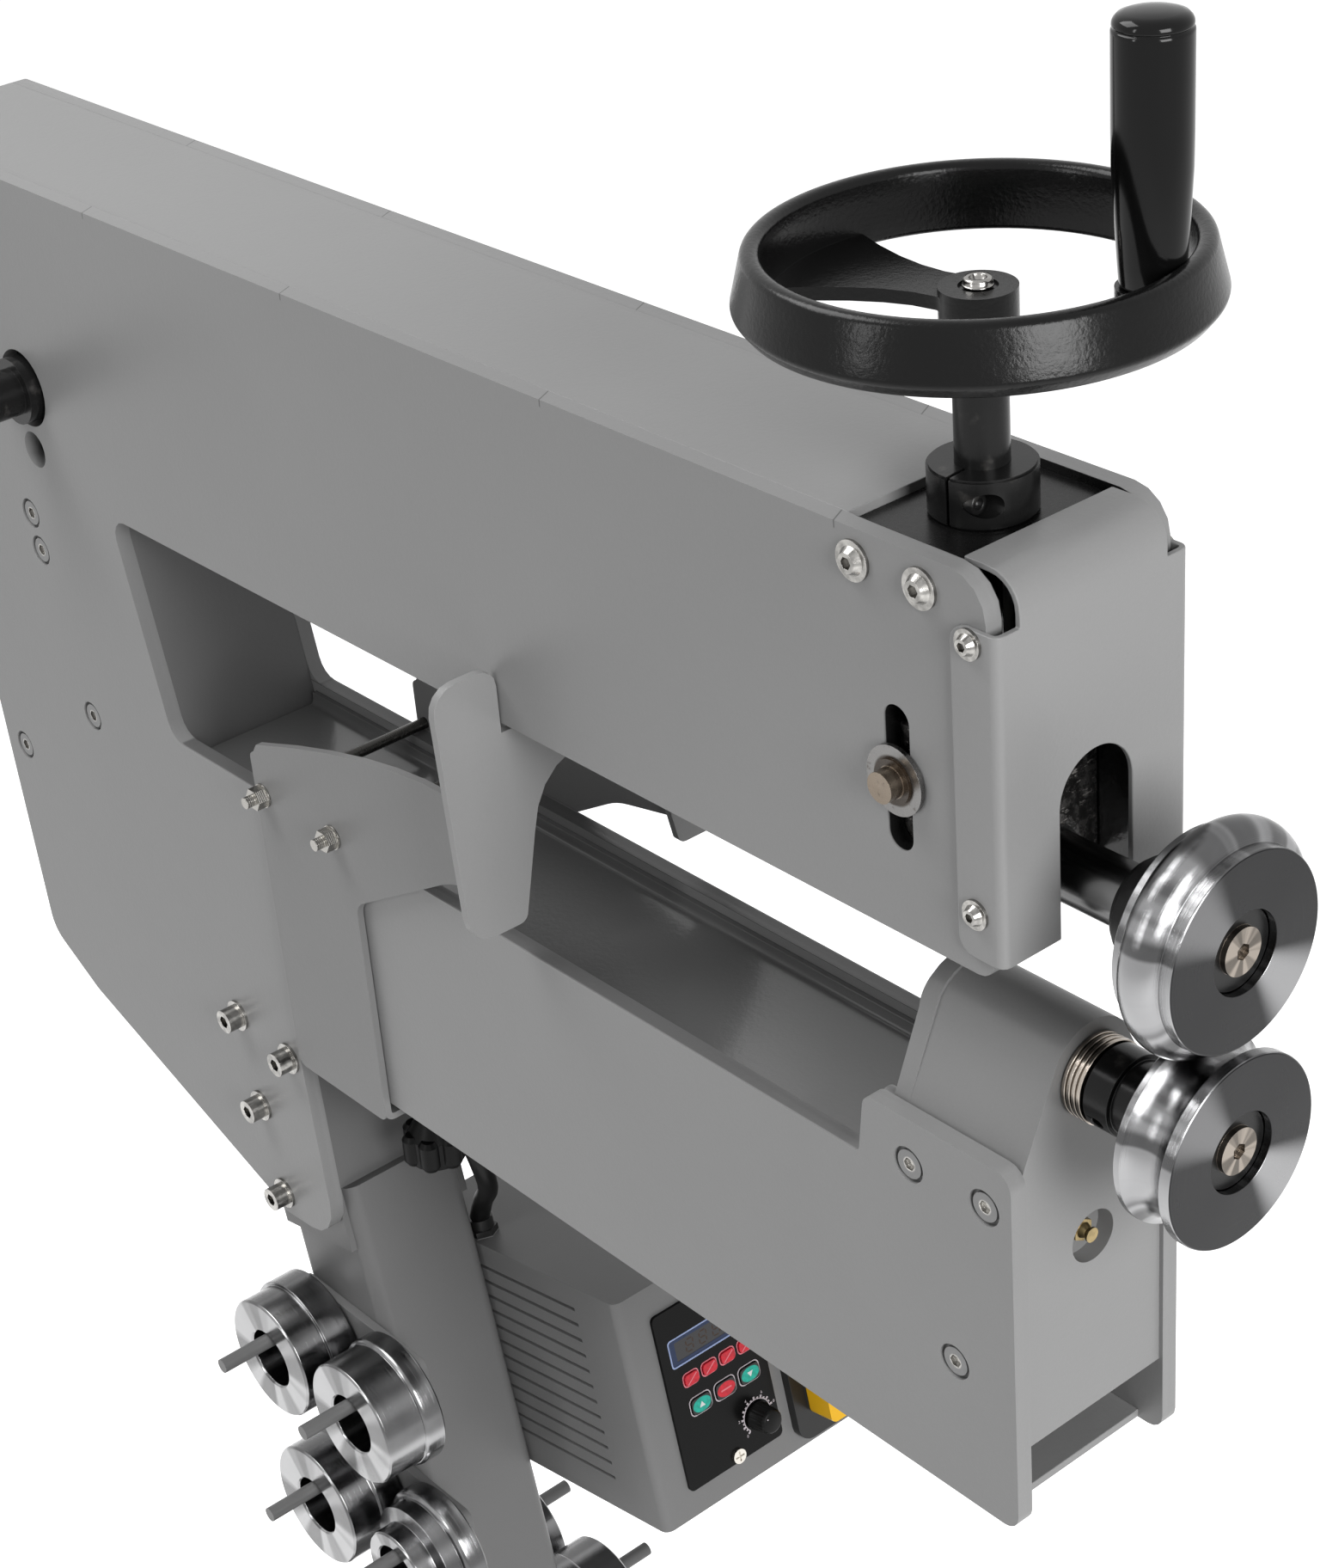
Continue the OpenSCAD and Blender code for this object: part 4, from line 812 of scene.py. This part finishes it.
def turned_steel(name, middle, colour, roughness, groove, along="X", face=None, ring=None, glints=1.0):
    """Steel with fine grooves round an axis along X or Y through the middle, in millimetres.

    face is (where it starts along the axis, its colour, its roughness, the colour of the pale
    wedge painted on it as a highlight); ring is the (inner, outer) radius of a black washer;
    glints says how often the painted bright and dark reflections change round the axis.
    """
    material, shader, here = new_material(name)
    radius = from_axis(here, middle, along)
    length = here.axis(along)
    rings = radius.node("ShaderNodeCombineXYZ", {"X": radius, "Y": length})
    fine = rings.noise(5200, 3, 0.7)
    coarse = rings.noise(900, 2)
    smear = here.noise(60, 3)
    dark = [0.25 * part for part in colour[:3]] + [1]
    first, second = ("Y", "Z") if along == "X" else ("X", "Z")
    turn = rings.node("ShaderNodeCombineXYZ", {"X": (here.axis(first) - middle[0] * MM) / radius,
                                               "Y": (here.axis(second) - middle[1] * MM) / radius})
    # Painted reflection: bright and dark patches round the axis stand in for the streaky reflections of the
    # polish.
    patch = turn.noise(glints, 2).steps(0.45, 0.55) * 0.8 + smear * 0.3
    # Painted highlight: a pale wedge across the face, stronger on one side.
    toward = turn.along(painted_wedge_way)
    painted_wedge = (toward * toward).steps(0.76, 1.0) * (toward * 0.25 + 0.75)
    shade = patch.blend(dark, colour)
    gloss = smear * 0.12 + (roughness - 0.06)
    metal = 1.0
    if face:
        ahead = length.steps((face[0] - 0.35) * MM, (face[0] - 0.2) * MM)
        shade = ahead.blend(shade, painted_wedge.blend(face[1], face[3]))
        gloss = gloss + ahead * (face[2] - roughness)
    if ring:
        beyond = radius.steps(ring[1] * MM, (ring[1] + 0.1) * MM)
        black = radius.steps((ring[0] - 0.05) * MM, ring[0] * MM) * (1 - beyond)
        shade = black.blend(shade, grey(0.006))
        metal = 1 - black
    relief = fine * 0.7 + coarse * 0.3
    feed(shader, Base_Color=shade, Metallic=metal, Roughness=gloss, Specular_IOR_Level=0.2,
         Normal=relief.bumped(groove, 0.12 * MM))
    return material


roll_front = 467.5
spare_colour = (0.36, 0.36, 0.365, 1)
roll_colour = (0.31, 0.31, 0.315, 1)
# The roll face: where it starts, its dark colour, its roughness and the colour of its painted wedge
# highlight.
roll_face = (roll_front, (0.028, 0.028, 0.029, 1), 0.26, (0.30, 0.30, 0.305, 1))
screw_ring = (9.6, 17.0)
dress(black_oxide, 0.4, "upper_hub", "lower_hub")
for place, axis_z in (("upper", upper_axis_z), ("lower", lower_axis_z)):
    middle = (0, axis_z)
    roll_steel = turned_steel(place + "_roll_steel", middle, roll_colour, 0.14, 0.5,
                              face=roll_face, glints=2.3)
    screw_steel_turned = turned_steel(place + "_screw_steel", middle, grey(0.29, 0.14), 0.28, 0.3,
                                      ring=screw_ring)
    dress(roll_steel, 0.25, place + "_roll")
    dress(screw_steel_turned, 0.3, place + "_roll_screw")
dress(turned_steel("upper_shaft_steel", (0, upper_axis_z), grey(0.32), 0.24, 0.15), 0.2, "upper_shaft")
dress(turned_steel("lower_shaft_steel", (0, lower_axis_z), grey(0.2), 0.3, 0.3), 0.2, "lower_shaft")
dress(turned_steel("bush_steel", (0, lower_axis_z), grey(0.42, 0.12), 0.22, 0.4), 0.4, "lower_bush")
brass = bright_steel("brass", (0.38, 0.29, 0.14, 1), 0.3)
dress(brass, 0.15, "grease_nipple")

# Guide fence
# A bent stop plate stands on two cut gussets, which threaded rods join across the
# lower arm. All are powder coated, and a star knob below clamps them to the arm.
fence_paint = powder_coat("fence_paint", 0.2, 0.40, 0.18)
# Painted light: the stop plate gets a lighter copy of the gussets' coat, for the light on its front.
stop_plate_lit_paint = powder_coat("stop_plate_lit_paint", 0.25, 0.38, 0.18)
dress(fence_paint, 0.9, "gusset_near", "gusset_far")
dress(stop_plate_lit_paint, 0.9, "stop_plate")
thread_pitch = 1.0


def threaded_rod():
    """Dull threaded rod between the arms' sides, bright nuts and stud ends outside them."""
    material, shader, here = new_material("threaded_rod")
    inside = 1 - abs(here.axis("Y")).steps(49.0 * MM, 50.0 * MM)
    turns = here.axis("Y") * (2 * math.pi / (thread_pitch * MM))
    thread = turns.math("SINE", turns)
    patch = here.noise(260, 3)
    feed(shader, Base_Color=inside.blend((0.33, 0.32, 0.30, 1), (0.07, 0.068, 0.064, 1)), Metallic=1.0,
         Roughness=patch * 0.2 + 0.16, Normal=thread.bumped(0.35, 0.12 * MM))
    return material


dress(threaded_rod(), 0.2, "fence_rods")
dress(knob_black, 0.8, "star_knob")

# Spare rolls
# Six more forming rolls hang on the racks' pins by their bores, turned and
# polished like the two in use.
for number in range(1, 7):
    node_name = "stored_roll_%d" % number
    low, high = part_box(node_name)
    centre = ((low[0] + high[0]) / 2 / MM, (low[2] + high[2]) / 2 / MM)
    dress(turned_steel(node_name + "_steel", centre, spare_colour, 0.15, 0.5, along="Y"), 0.3, node_name)

# Motor cable
# A black sheathed cable of 11 mm leaves the lower arm's cross plate, hangs in one
# free curve and goes back into the gland in the control box's lid.
cable_width = 11.0
gland_place = (25.0, 44.0, 668.8)
cable_places = ((-110, 22, 850), (-110, 22, 820), (-110, 22, 790), (-98, 24, 762), (-78, 26, 742),
                (-69, 29, 718), (-76, 36, 697), (-91, 42, 678))
cable_points = [Vector(place) * MM for place in cable_places]
cable_points.append(on_box(gland_place[0], gland_place[1], gland_place[2] + 0.4))


def smooth_run(points, steps):
    """Points of one smooth curve through the given ones."""
    run = []
    for i in range(len(points) - 1):
        before, start, end = points[max(i - 1, 0)], points[i], points[i + 1]
        after = points[min(i + 2, len(points) - 1)]
        for step in range(steps):
            t = step / steps
            run.append(0.5 * (2 * start + t * (end - before)
                              + t * t * (2 * before - 5 * start + 4 * end - after)
                              + t * t * t * (3 * start - before - 3 * end + after)))
    return run + [points[-1]]


cable_run = smooth_run(cable_points, 4)
cable_length = sum((second - first).length for first, second in zip(cable_run, cable_run[1:]))
cable_line = bpy.data.curves.new("motor_cable", "CURVE")
cable_line.dimensions = "3D"
cable_line.bevel_depth = cable_width / 2 * MM
cable_line.bevel_resolution = 6
cable_line.use_fill_caps = True
spline = cable_line.splines.new("POLY")
spline.points.add(len(cable_run) - 1)
for point, place in zip(spline.points, cable_run):
    point.co = (*place, 1)
spline.use_smooth = True
cable_sheath = plastic("cable_sheath", (0.006, 0.006, 0.006, 1), 0.38, shine=0.2)
cable_line.materials.append(cable_sheath)
motor_cable = bpy.data.objects.new("motor_cable", cable_line)
bpy.context.scene.collection.objects.link(motor_cable)
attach(motor_cable, "frame")
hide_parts("cable")

# Room
# A pale studio: a white floor and a white surround, which camera, metal and glass
# see at full strength, with soft light from above, from the front and the near side.
background_white = 1.0
surround_light = 0.15
floor_reach = 14


def seen_rays(value):
    """1 for rays of the camera, of glossy surfaces and through clear ones, 0 for the others."""
    rays = [value.node("ShaderNodeLightPath", output=kind) for kind in
            ("Is Camera Ray", "Is Glossy Ray", "Is Transmission Ray")]
    return sum(rays).at_most(1.0)


floor_mesh = bpy.data.meshes.new("floor")
floor_mesh.from_pydata([(-floor_reach, -floor_reach, 0), (floor_reach, -floor_reach, 0),
                        (floor_reach, floor_reach, 0), (-floor_reach, floor_reach, 0)], [], [(0, 1, 2, 3)])
floor = bpy.data.objects.new("floor", floor_mesh)
bpy.context.scene.collection.objects.link(floor)
floor_paint, floor_shader, floor_here = new_material("floor_white")
floor_seen = seen_rays(floor_here)
feed(floor_shader, Base_Color=grey(0.8), Roughness=0.8, Specular_IOR_Level=0.0,
     Emission_Color=floor_seen.blend(grey(0.0), grey(0.9)), Emission_Strength=1.0)
floor_mesh.materials.append(floor_paint)

world = bpy.data.worlds.new("studio")
world.use_nodes = True
bpy.context.scene.world = world
background = next(n for n in world.node_tree.nodes if n.type == "BACKGROUND")
seen = seen_rays(Value(world.node_tree, None))
background.inputs["Color"].default_value = (1, 1, 1, 1)
strength = seen * (background_white - surround_light) + surround_light
world.node_tree.links.new(strength.socket, background.inputs["Strength"])


def soft_light(name, place, target, width, height, watts):
    """A soft box at a place that faces a target, in metres."""
    data = bpy.data.lights.new(name, "AREA")
    data.shape = "RECTANGLE"
    data.size = width
    data.size_y = height
    data.energy = watts
    light = bpy.data.objects.new(name, data)
    light.location = place
    light.rotation_euler = (Vector(target) - Vector(place)).to_track_quat("-Z", "Y").to_euler()
    bpy.context.scene.collection.objects.link(light)


soft_light("top_light", (-0.9, -0.6, 2.9), (-0.1, 0, 1.1), 1.5, 1.2, 39)
soft_light("front_light", (2.6, -0.5, 1.9), (0.2, 0, 1.0), 1.2, 1.4, 70)
soft_light("near_light", (0.03, -2.1, 1.9), (0.3, 0, 1.2), 0.22, 1.2, 8)

bpy.context.scene.view_settings.view_transform = "Standard"
